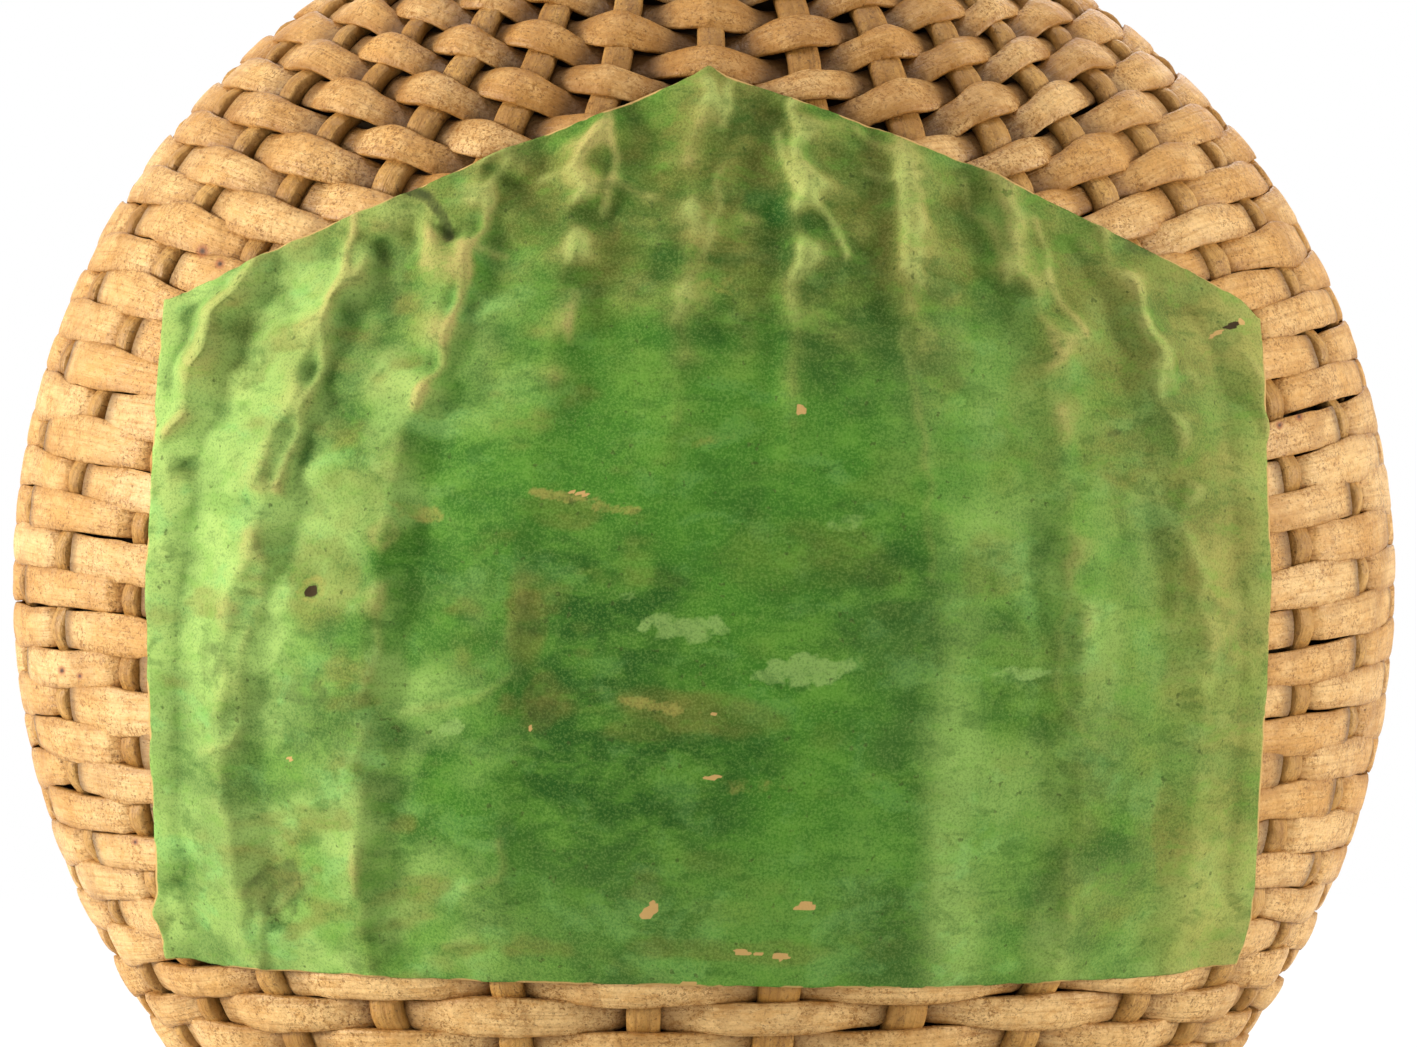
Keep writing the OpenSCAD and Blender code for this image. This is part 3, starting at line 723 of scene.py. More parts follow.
def stakes():
    """Upright willow sticks. Every second one goes on up the neck."""
    x, y = bulged(np.cos(RING), 0.55), bulged(np.sin(RING), 0.65)
    for k in range(STAKE_COUNT):
        goes_up = k % 2 == 0
        h = FIRST_ANGLE + k * STAKE_STEP
        top = 1.0 if goes_up else float(round_share(
            h, NECK_FIRST + (k / STAKE_COUNT - STRIP_CLEAR) / BODY_ROUNDS))
        share = np.linspace(0.001, top, 230)
        if goes_up:
            share = np.concatenate([share, np.linspace(1.0, 2.0, 30)[1:]])
        a = stake_angle(np.full(len(share), k), share)
        z = path_height(h, share)
        centre, normal = skin(a, z), outward(a, z)
        hidden, relief = under_label(centre), relief_at(a, share)
        centre = centre + (LIFT * (1 - relief) - (LIFT + 0.2) * hidden)[:, None] * normal
        side = unit(np.cross(unit(np.gradient(centre, axis=0)), normal))
        thin = slender(share)
        row = invert_round(h, share) * BODY_ROUNDS - 0.5 - k / STAKE_COUNT
        give = (GIVE_FLAT + (GIVE_STEEP - GIVE_FLAT) * relief) * (1 - 0.6 * hidden)
        push = -give * np.cos(math.pi * (k + row)) * step(CUT_SHARE - share, 0.0, 0.02)
        wide = random.uniform(0.86, 1.12)
        run = run_along(centre)
        half_w = (STAKE_W / 2 * thin * wide * (0.46 + 0.58 * np.abs(cosd(a)) ** 1.2)
                  * (1 + 0.06 * noise(run / 9.0, seed=700 + k)))[:, None]
        half_t = (1.0 + 0.12 * relief) * thin * (1 + 0.05 * noise(run / 6.0, seed=800 + k))
        rings = (centre[:, None] + side[:, None] * (half_w * x)[:, :, None]
                 + normal[:, None] * (half_t[:, None] * y + push[:, None])[:, :, None])
        WEAVE_POINTS.append(with_halves(rings))
        tone = random.uniform(0.2, 0.8) + 0.15 * noise(run / 14.0, seed=900 + k)
        # The stake's inner face, towards the glass, is darker: painted shade
        fields = willow_fields(rings.shape[:2], (run[:, None], half_w * x, 33.0 * (k + 40)),
                               tone[:, None], 0.35 * step(-y, -0.6, 0.6),
                               0.2 + dirt_at(centre)[:, None])
        points, faces = swept(rings)
        make_piece(f"willow_stake_{k + 1}", points, faces, STAKE_LOOK, "bottle",
                   [f"stake_{k + 1}"], fields)


def with_halves(rings):
    """The points of rings, and those halfway between them both ways."""
    both = (rings, (rings[1:] + rings[:-1]) / 2, (rings + np.roll(rings, 1, axis=1)) / 2)
    return np.concatenate([part.reshape(-1, 3) for part in both])


def bulged(values, power):
    """A sine or cosine made squarer, for a section between an oval and a box."""
    return np.sign(values) * np.abs(values) ** power


def invert_round(h, share):
    """The round of weaving that crosses the path at a share of it, as counted by w."""
    w = np.asarray(share, float)
    for _ in range(6):
        w = share - (round_share(h, w) - w)
    return w


# ---- Label ------------------------------------------------------------------------------

# Creases in the paper, as points (x, z), with how far each stands out
CREASES = [
    ([(-35.6, 96.1), (-35.9, 89.7), (-37.9, 85.2), (-40.0, 76.3), (-42.5, 68.5)], 0.55),
    ([(-20.0, 102.5), (-21.5, 97.0), (-23.6, 91.0), (-24.4, 87.7), (-25.9, 82.1), (-28.4, 76.7)],
     0.55),
    ([(-32.0, 59.5), (-32.4, 53.2), (-33.9, 48.0)], 0.14),
    ([(-9.4, 106.5), (-9.2, 101.8), (-10.6, 96.0)], 0.5),
    ([(-10.9, 103.6), (-13.5, 100.0), (-17.0, 99.5)], 0.35), ([(-8.8, 99.0), (-4.6, 97.2)], 0.3),
    ([(8.0, 104.0), (9.0, 98.5), (12.5, 95.5), (14.0, 91.5)], 0.45),
    ([(17.0, 100.0), (20.5, 98.5), (23.0, 99.5)], 0.3),
    ([(-27.5, 93.5), (-23.5, 92.5), (-20.5, 91.6)], 0.35),
    ([(33.5, 95.0), (35.5, 88.5), (38.5, 84.0)], 0.35),
    ([(43.0, 89.5), (44.5, 84.0), (47.5, 79.0)], 0.3),
    ([(-13.3, 87.9), (-13.7, 83.2)], 0.25),
    ([(-44.6, 64.0), (-44.1, 60.9), (-46.6, 52.8), (-47.1, 44.0)], 0.18),
    ([(3.1, 109.0), (1.8, 104.5)], 0.4),
    ([(1.6, 100.0), (1.2, 93.6), (0.2, 91.5)], 0.25),
    ([(8.7, 106.5), (8.9, 103.0), (10.6, 99.1)], 0.3),
    ([(15.8, 104.0), (19.3, 101.6), (20.0, 97.3), (19.9, 90.2)], 0.35),
    ([(20.2, 84.0), (21.4, 77.3), (22.3, 71.6), (22.8, 60.0)], 0.15),
    ([(27.0, 99.3), (27.0, 96.4), (29.2, 94.4), (30.2, 92.0), (30.7, 88.9)], 0.25),
    ([(36.4, 61.5), (35.4, 50.0), (37.9, 44.6), (41.0, 42.6)], 0.14),
    ([(36.6, 33.0), (36.4, 27.0)], 0.2),
    ([(45.6, 70.0), (48.1, 61.2), (47.7, 49.4)], 0.14),
    ([(-34.6, 33.5), (-34.8, 29.5)], 0.3), ([(-20.0, 34.5), (-20.6, 31.0), (-24.0, 30.0)], 0.2),
    ([(-50.9, 43.0), (-47.5, 43.8), (-47.2, 44.8)], 0.3), ([(-44.7, 26.5), (-41.5, 29.9)], 0.25),
    ([(-47.0, 29.3), (-44.9, 29.1), (-44.7, 26.2), (-45.0, 20.8)], 0.3),
    ([(49.2, 80.3), (50.7, 79.4)], 0.3), ([(-19.0, 50.8), (-22.5, 48.3), (-30.0, 47.0)], 0.14),
    ([(-26.4, 24.0), (-23.5, 25.0)], 0.2), ([(-18.0, 59.5), (-19.0, 54.5), (-18.4, 50.5)], 0.1)]
# Rubbed spots, pale streaks and brown stains: centre, half-sizes, turn in degrees, strength
SCUFFS = [((-2.3, 55.5), (4.2, 1.5), -4, 0.75), ((10.5, 51.2), (4.9, 1.7), 0, 0.9),
          ((31.9, 50.8), (3.2, 0.7), 2, 0.7), ((-25.1, 45.6), (2.0, 0.9), 5, 0.8),
          ((-7.7, 58.3), (1.0, 0.5), 0, 0.4), ((13.9, 65.4), (2.0, 0.8), 8, 0.5),
          ((-45.4, 66.5), (2.0, 0.9), 6, 1.0), ((25.6, 63.0), (1.2, 0.8), 0, 0.3),
          ((5.5, 71.0), (1.4, 0.5), 20, 0.3), ((-32.9, 52.0), (0.7, 2.8), 0, 0.45)]
STREAKS = [((-14.0, 68.0), (3.6, 0.5), -6, 0.9), ((-8.5, 66.8), (3.2, 0.5), -4, 0.7),
           ((-4.6, 47.8), (4.6, 0.7), -9, 0.8), ((1.5, 88.5), (2.6, 1.0), 0, 0.5),
           ((4.0, 40.0), (5.0, 0.8), 0, 0.35), ((1.0, 73.5), (3.0, 0.6), 15, 0.4),
           ((-28.5, 66.5), (2.6, 1.0), -5, 0.6)]
STAINS = [((0.6, 99.5), (4.5, 8.5), 0, 0.8), ((-13.0, 97.0), (5.5, 6.0), 20, 0.5),
          ((22.0, 92.0), (5.0, 6.0), 0, 0.45), ((44.0, 84.0), (9.0, 6.0), -20, 0.6),
          ((-1.0, 47.3), (8.5, 2.4), -8, 0.7), ((-14.0, 66.6), (4.5, 1.6), -6, 0.6),
          ((-17.6, 56.0), (2.6, 4.5), 0, 0.6), ((-16.0, 48.0), (2.4, 3.6), 0, 0.6),
          ((-38.5, 60.0), (4.0, 4.5), 0, 0.75), ((-36.0, 67.5), (5.0, 3.5), 0, 0.5),
          ((2.0, 24.0), (11.0, 1.4), -3, 0.6), ((-44.0, 32.0), (3.0, 3.0), 0, 0.5),
          ((52.0, 66.0), (4.0, 9.0), 0, 0.5), ((33.5, 77.0), (4.0, 6.0), 0, 0.4),
          ((42.0, 72.5), (5.0, 5.0), 0, 0.45), ((-48.0, 82.0), (5.0, 4.0), 20, 0.45),
          ((10.0, 62.0), (9.0, 3.5), 0, 0.3), ((29.0, 61.0), (4.0, 4.0), 0, 0.4),
          ((47.0, 35.0), (1.8, 7.0), 0, 0.5), ((24.5, 81.0), (3.0, 3.0), 0, 0.4)]
# Slivers of bare paper: centre, half-sizes, turn in degrees
SLIVERS = [((52.6, 84.2), (0.7, 0.25), 28), ((55.0, 85.3), (0.4, 0.3), 0),
           ((9.6, 76.3), (0.55, 0.5), 0), ((-5.6, 27.7), (0.75, 0.6), 40),
           ((-5.0, 28.2), (0.35, 0.7), 10), ((10.4, 28.3), (0.9, 0.40), -10),
           ((9.4, 28.1), (0.5, 0.2), 5), ((3.8, 23.7), (1.2, 0.22), -6),
           ((5.6, 23.5), (0.6, 0.16), -6), ((7.8, 23.3), (1.0, 0.34), -8),
           ((-17.3, 45.6), (0.3, 0.4), 0), ((-41.9, 42.2), (0.45, 0.28), -35),
           ((0.8, 40.8), (1.0, 0.2), 4), ((8.0, 19.3), (1.2, 0.5), 0),
           ((-1.6, 20.6), (0.9, 0.25), -5), ((-12.4, 68.3), (1.5, 0.2), -7),
           ((1.0, 47.0), (0.5, 0.25), 0)]
# Soft dents and swellings: centre, half-sizes, turn in degrees, how far out
DENTS = [((-32.6, 92.8), (2.0, 4.4), 12, -1.5), ((-27.0, 91.0), (2.3, 2.8), 0, 0.9),
         ((-31.5, 85.6), (2.2, 2.6), 10, -0.7), ((-16.5, 99.0), (2.6, 4.0), 8, -0.9),
         ((-6.0, 101.5), (2.4, 3.0), 0, -0.7), ((5.4, 100.5), (2.2, 3.4), 0, -0.8),
         ((13.6, 99.5), (2.6, 3.0), 0, -0.6), ((25.2, 96.0), (2.4, 2.2), 0, -0.8),
         ((29.4, 98.6), (2.0, 1.8), 10, 0.9), ((36.5, 88.0), (2.6, 4.0), 10, -0.6),
         ((-39.7, 58.8), (1.5, 1.2), 0, -0.6), ((-45.2, 69.0), (3.2, 1.2), 5, 0.5),
         ((-26.5, 69.0), (3.0, 1.3), -5, 0.4), ((-42.0, 78.5), (2.4, 2.0), 0, -0.5)]
# Grey grime: centre, half-sizes, turn in degrees, strength
GRIME = [((-43.6, 29.0), (3.6, 2.6), 35, 0.5), ((41.8, 74.3), (1.1, 0.45), 10, 0.6),
         ((-50.0, 52.0), (1.6, 2.6), 0, 0.4), ((-17.6, 56.0), (1.5, 3.4), 0, 0.4),
         ((-16.2, 47.5), (1.5, 3.0), 0, 0.4), ((-40.5, 49.0), (3.2, 1.8), 10, 0.4),
         ((-33.0, 24.0), (4.5, 2.6), 15, 0.35), ((31.5, 99.5), (2.4, 1.6), -30, 0.6),
         ((44.0, 93.0), (2.0, 1.4), -30, 0.5), ((-31.6, 88.5), (2.2, 4.6), 12, 0.35)]
# A furrow near the upper left edge, dark with dirt and painted shadow, a smear beside it, and a
# small hole with a sunken rim
FURROW = [(-30.4, 98.4), (-28.0, 97.3), (-26.5, 95.5), (-26.0, 93.6)]
SMEAR = (-26.6, 96.2)
PIN_HOLE = (-39.7, 58.8)
# Torn places at the right corner and at the upper edge
CORNER_TEAR, TOP_TEAR = (53.9, 84.9), (30.7, 97.7)
# How far the paper's ridges stand aside from the stakes, in stakes: by x, on the upper part
RIDGE_ASIDE = [[-52, 0.08], [-34, 0.19], [-18, 0.10], [-6, 0.0], [4, 0.0], [10, -0.22],
               [52, -0.27]]
# How far the paper lies outside the middle of the weave on the whole, and its thickness
LABEL_OUT, PAPER_T = 2.35, 0.2
# Share of the way between two ridges that the steep side takes
STEEP_SHARE = 0.28
# Points across and up the label, and from where to where it reaches across at most
LABEL_COLS, LABEL_ROWS = 360, 300
LABEL_FROM, LABEL_WIDE = -55.6, 112.6
# How close the paper may come to the weave, before and after it is smoothed
PAPER_CLEAR, PAPER_CLEAR_LEAST = 0.16, 0.15
# Grid of how far out the weave's front stands: size of a cell, lowest x and z, cells each way
UNDER_CELL, UNDER_X, UNDER_Z, UNDER_SHAPE = 0.45, -62.0, 12.0, (280, 240)
# The points that count for it: highest y, lowest and highest z, and how far out they lie about
UNDER_Y, UNDER_LOW, UNDER_TOP, UNDER_OUT = -8, 14, 118, 1.5


def place_in_weave(a, z):
    """Where a point of the skin lies: counted in stakes, counted in rounds, and as a share of
    the path. Both loops close in on it."""
    h, share = np.array(a, float), np.zeros_like(a)
    for _ in range(5):
        low, high = np.zeros_like(share), np.ones_like(share)
        for _ in range(14):
            middle = (low + high) / 2
            below = path_height(h, middle) < z
            low, high = np.where(below, middle, low), np.where(below, high, middle)
        share = (low + high) / 2
        h = h + (a - own_angle(h, share))
    k = (h - FIRST_ANGLE) / STAKE_STEP
    rounds = invert_round(h, share) * BODY_ROUNDS - 0.5 - k / STAKE_COUNT
    return k, rounds, share


def in_oval(x, z, at, size, turn):
    """Distance from an oval's centre, as 1 on the oval."""
    dx, dz = x - at[0], z - at[1]
    c, s = math.cos(math.radians(turn)), math.sin(math.radians(turn))
    return np.hypot((dx * c + dz * s) / size[0], (dz * c - dx * s) / size[1])


def spot(x, z, at, size, turn, ragged, grain=3.0, seed=0):
    """A ragged oval patch: 1 inside, 0 outside."""
    edge = 1 + ragged * layered(x / grain, z / grain, seed=seed)
    return 1 - step(in_oval(x, z, at, size, turn) / edge, 0.75, 1.1)


def painted(x, z, spots, seed, grain, ragged):
    """Many spots, each with its own strength. The strongest one counts at each point."""
    patches = [strength * spot(x, z, at, size, turn, ragged, grain, seed + number)
               for number, (at, size, turn, strength) in enumerate(spots)]
    return np.maximum.reduce(patches)


def cloudy(x, z, size, seed, low, high):
    """Soft patches of the given size across and upwards: 1 in them, 0 between them."""
    return step(layered(x / size[0], z / size[1], seed=seed), low, high)


def crease(x, z, points, width):
    """Nearness to a bent line: 1 on it and 0 at the given width."""
    nearest = np.full(x.shape, np.inf)
    for (x0, z0), (x1, z1) in zip(points[:-1], points[1:]):
        dx, dz = x1 - x0, z1 - z0
        t = clamp(((x - x0) * dx + (z - z0) * dz) / (dx ** 2 + dz ** 2))
        nearest = np.minimum(nearest, np.hypot(x - x0 - t * dx, z - z0 - t * dz))
    return np.maximum(0, 1 - nearest / width)


def creases(x, z, width):
    """Each crease's nearness and amount, with the crease a little shaky."""
    for number, (line, amount) in enumerate(CREASES):
        shaky = 0.5 * noise(z / 2.3, seed=160 + number)
        yield crease(x + shaky, z, line, width), amount


def smooth(field, times):
    """A grid of values, each mixed with its neighbours the given number of times."""
    for _ in range(times):
        field = np.pad(field, 1, mode="edge")
        field = (field[:-2] + 2 * field[1:-1] + field[2:]) / 4
        field = (field[:, :-2] + 2 * field[:, 1:-1] + field[:, 2:]) / 4
    return field


def weave_under(x, z):
    """How far out the weave stands under points (x, z) of the label."""
    points = np.concatenate(WEAVE_POINTS)
    y, height = points[:, 1], points[:, 2]
    points = points[(y < UNDER_Y) & (height > UNDER_LOW) & (height < UNDER_TOP)]
    height = points[:, 2]
    # Each point's foot on the skin, closer with each try
    for _ in range(3):
        a = np.degrees(np.arctan2(points[:, 0] / (half_width(height) + UNDER_OUT),
                                  -points[:, 1] / (half_depth(height) + UNDER_OUT)))
        normal = outward(a, height)
        out = np.sum((points - skin(a, height)) * normal, axis=1)
        height = points[:, 2] - out * normal[:, 2]
    across = sind(a) * (half_width(height) + LABEL_OUT)
    # The highest point in each cell, and then in the cells round it
    wide, tall = UNDER_SHAPE
    found = np.full(UNDER_SHAPE, -1.0)
    i = clamp((across - UNDER_X) / UNDER_CELL, 0, wide - 1).astype(int)
    j = clamp((height - UNDER_Z) / UNDER_CELL, 0, tall - 1).astype(int)
    np.maximum.at(found, (i, j), out)
    padded = np.pad(found, 1, mode="edge")
    found = np.max([padded[p:p + wide, q:q + tall] for p in range(3) for q in range(3)], axis=0)
    return read_grid(found, (x - UNDER_X) / UNDER_CELL, (z - UNDER_Z) / UNDER_CELL)


def slanted(at):
    """A ridge over each whole number, steep after it and with a long slope up to the next one."""
    past = np.mod(at, 1.0)
    return np.maximum(clamp((past - STEEP_SHARE) / (1 - STEEP_SHARE)) ** 1.5,
                      clamp(1 - past / STEEP_SHARE) ** 1.15)


def paper_height(x, z, k, rounds, share, a):
    """How far the paper stands out: ridges over the stakes, hollows between, and small folds."""
    side = step(np.abs(x - 1), 13, 40)
    upper = step(z, 66, 96)
    strength = clamp(0.10 + 0.90 * np.maximum(upper, side * (0.62 + 0.38 * step(z, 40, 75))))
    strength = strength * (1 - 0.20 * step(x, 10, 40))
    k = k - table(RIDGE_ASIDE, x) * (step(z, 22, 42) * (0.55 + 0.45 * step(z, 50, 80)))
    nearest = np.round(k)
    close = np.exp(-((k - nearest) / 0.3) ** 2)
    over_here = np.cos(math.pi * (nearest + rounds + 0.25 * noise(x / 8, z / 6, seed=74))) * close
    some = 0.5 + 0.5 * noise(k * 0.8, z / 9, seed=72)
    zigzag = (0.085 * some * over_here + 0.11 * noise(k * 0.7, z / 6.5, seed=75)
              + 0.055 * noise(k * 0.7, z / 2.0, seed=73))
    at = k - strength * zigzag
    leftward = 1 - step(x, -8, 12)
    slant = leftward * slanted(at) + (1 - leftward) * slanted(-at)
    tall = (0.86 + (0.20 * some - 0.06 * upper) * over_here + 0.34 * noise(k * 0.8, z / 12, seed=76)
            + 0.22 * noise(k * 0.8, z / 3.4, seed=81))
    rows = 0.34 * some * over_here
    valley = LABEL_OUT - 1.45 * strength + 0.28 * layered(x / 9, z / 11, seed=77) * strength
    out = valley + (2.6 - 0.1 * upper * (1 - side)) * strength * slant * tall + strength * rows
    out = out + 0.25 * LIFT * (1 - relief_at(a, share))
    out = smooth(out, 1)
    out += (0.28 + 0.22 * upper) * strength * layered(x / 5.0, z / 3.2, seed=63)
    out += (0.14 + 0.12 * upper) * strength * np.abs(noise(x / 3.0 + z / 9, z / 1.9, seed=65))
    out += 0.07 * layered(x / 1.8, z / 1.6, seed=64)
    for near, amount in creases(x, z, 0.9):
        out += 1.15 * amount * near ** 1.2
    out += sum(far * np.exp(-in_oval(x, z, at, size, turn) ** 2) for at, size, turn, far in DENTS)
    out += 0.8 * crease(x + 1.4, z + 0.7, FURROW, 2.0) - 1.5 * crease(x, z, FURROW, 1.6)
    # The paper spans the weave's gaps and touches none of it
    under = weave_under(x, z)
    envelope = smooth(under, 2)
    for _ in range(7):
        envelope = np.maximum(smooth(envelope, 1), under)
    envelope = smooth(envelope, 1)
    shape = np.maximum(out, envelope + PAPER_CLEAR)
    return np.maximum(smooth(shape, 1), under + PAPER_CLEAR_LEAST), strength


def label_sheet():
    """The label's points, one for each column and row: x and z as seen from in front, angle,
    height and how far out on the skin, how strong its folds are, and how near its edge."""
    s, t = np.meshgrid(np.linspace(0, 1, LABEL_COLS), np.linspace(0, 1, LABEL_ROWS), indexing="ij")
    across = LABEL_FROM + LABEL_WIDE * s
    low, high = table(LABEL_LOW, across), table(LABEL_TOP, across)
    tall = low + (high - low) * t
    left, right = table(LABEL_LEFT, tall), table(LABEL_RIGHT, tall)
    across = left + (right - left) * s
    ragged = (0.12 * layered(across / 1.8, tall / 1.8, seed=61)
              + 0.1 * layered(across / 6, tall / 6, seed=67))
    tall = tall + ragged * (step(t, 0.97, 1) - step(-t, -0.03, 0))
    ragged = 0.14 * layered(across / 2.0, tall / 2.6, seed=62)
    across = across + ragged * (step(s, 0.97, 1) - step(-s, -0.03, 0))
    # The outline is kept as it looks from in front, whatever the paper's height over the weave
    x, z, shape = across, tall, np.full(across.shape, LABEL_OUT)
    a = label_angle(x, z)
    for _ in range(3):
        point = skin(a, z) + shape[..., None] * outward(a, z)
        x, z = x + across - point[..., 0], z + tall - point[..., 2]
        a = label_angle(x, z)
        shape, strength = paper_height(x, z, *place_in_weave(a, z), a)
    edge = np.maximum(np.maximum(step(-s, -0.004, 0), step(s, 0.996, 1)),
                      np.maximum(step(-t, -0.005, 0), step(t, 0.995, 1)))
    return x, z, a, shape, strength, edge


def label_angle(x, z):
    return np.degrees(np.arcsin(clamp(x / (half_width(z) + LABEL_OUT), -1, 1)))


def shell(front, back):
    """Points and faces of a sheet between two grids of points, closed round its edge."""
    count = front[..., 0].size
    number = np.arange(count).reshape(front.shape[:2])
    quads = np.stack([number[:-1, :-1], number[1:, :-1], number[1:, 1:], number[:-1, 1:]], axis=-1)
    quads = quads.reshape(-1, 4)
    rim = np.concatenate([number[:, 0], number[-1, 1:], number[-2::-1, -1], number[0, -2:0:-1]])
    after = np.roll(rim, -1)
    walls = np.stack([rim, rim + count, after + count, after], axis=-1)
    return (np.concatenate([front.reshape(-1, 3), back.reshape(-1, 3)]),
            np.concatenate([quads, quads[:, ::-1] + count, walls]))


def label_fields(x, z, shape, strength, edge):
    """What the paper's material reads: where it is rubbed, faded, stained, and where shade is
    painted.
    """
    folds = np.maximum.reduce([amount * 1.7 * near for near, amount in creases(x, z, 0.7)])
    proud = clamp((shape - smooth(shape, 60)) / 0.6, -1, 1)
    rub = clamp(0.95 * step(proud, 0.3, 1.0) * (0.2 + 0.8 * strength)
                * (0.55 + 0.45 * step(z, 55, 85)) + 0.85 * folds)
    fade = clamp(step(-x + 9 * layered(x / 9, z / 8, seed=80), 26, 56)
                 * (0.95 + 0.5 * layered(x / 6, z / 5, seed=78)) * (0.5 + 0.5 * step(z, 28, 44))
                 + 0.62 * step(-x, 12, 34) * cloudy(x, z, (4.5, 4.5), 83, -0.3, 0.5)
                 + 0.27 * step(x, 8, 30) * cloudy(x, z, (5, 8), 79, -0.2, 0.5)
                 + 0.55 * step(-x, 14, 32) * step(z, 66, 84) * cloudy(x, z, (4, 5), 87, -0.5, 0.5)
                 + 0.30 * step(x, 16, 40) * cloudy(x, z, (5, 6), 88, -0.7, 0.4)
                 + 0.30 * step(x, 20.5, 23.5) * step(-x, -31, -25) * step(-z, -62, -40)
                 + 0.16 * step(-z, -40, -24))
    worn = (step(proud, -0.35, 0.7) * strength * (0.32 + 0.75 * step(z, 64, 90))
            * (0.85 + 0.6 * layered(x / 4, z / 5, seed=89)))
    worn = clamp(np.maximum(worn, step(x, 42, 53) * (0.68 + 0.6 * layered(x / 5, z / 7, seed=90))))
    scuff = painted(x, z, SCUFFS, 200, 1.2, 0.55)
    streak = painted(x, z, STREAKS, 230, 1.5, 0.6)
    stain = clamp(painted(x, z, STAINS, 260, 5.0, 0.5)
                  + step(z, 74, 102) * (0.62 + 1.1 * layered(x / 5, z / 6, seed=68))
                  + 0.8 * cloudy(x, z, (6, 3), 84, 0.18, 0.55) * (0.25 + 0.75 * step(-x, -4, 24))
                  + step(x, 24, 48) * (0.45 + 0.7 * layered(x / 6, z / 7, seed=69)))
    bare = painted(x, z, [(*sliver, 1.0) for sliver in SLIVERS], 300, 0.7, 0.6)
    bare = np.maximum(bare, 0.85 * edge * cloudy(x, z, (3, 3), 70, -0.5, 0.3))
    # Holes and tears are painted dark brown: painted shade of the weave behind them
    hole = np.maximum(spot(x, z, PIN_HOLE, (0.8, 0.6), 20, 0.5, 0.5, 71),
                      spot(x, z, CORNER_TEAR, (0.9, 0.3), 10, 0.6, 0.5, 72))
    hole = np.maximum(hole, 0.4 * spot(x, z, TOP_TEAR, (0.7, 1.0), 0, 0.5, 0.6, 73))
    gritty = 0.8 + 0.2 * layered(x / 1.1, z / 1.1, seed=85)
    grime_and_shade = painted(x, z, GRIME, 330, 2.0, 0.6)
    # The furrow's dark line is dirt together with the painted shadow of the lifted fold
    grime_and_shade = np.maximum(grime_and_shade, step(crease(x, z, FURROW, 1.1), 0.15, 0.7) * gritty)
    smear = spot(x, z, SMEAR, (2.6, 2.8), 35, 0.5, 1.6, 86)
    stain = np.maximum(stain, 0.8 * smear * gritty)
    pit = spot(x, z, PIN_HOLE, (2.2, 1.5), 0, 0.4)
    streak = np.maximum(streak, 0.6 * (pit - hole))
    # Painted shade: the paper's hollows are darkened
    hollow = step(-proud, 0.1, 1.0) * strength
    return {"rub": rub, "scuff": scuff, "streak": streak, "stain": stain, "bare": bare,
            "hole": hole, "fade": fade, "worn": worn, "grime_and_shade": grime_and_shade, "hollow": hollow}


def label():
    x, z, a, shape, strength, edge = label_sheet()
    normal = outward(a, z)
    front = skin(a, z) + shape[..., None] * normal
    points, faces = shell(front, front - PAPER_T * normal)
    fields = {key: np.tile(values.reshape(-1), 2)
              for key, values in label_fields(x, z, shape, strength, edge).items()}
    make_piece("aged_paper_label", points, faces, LABEL_LOOK, "bottle",
               ["paper_label"], fields)


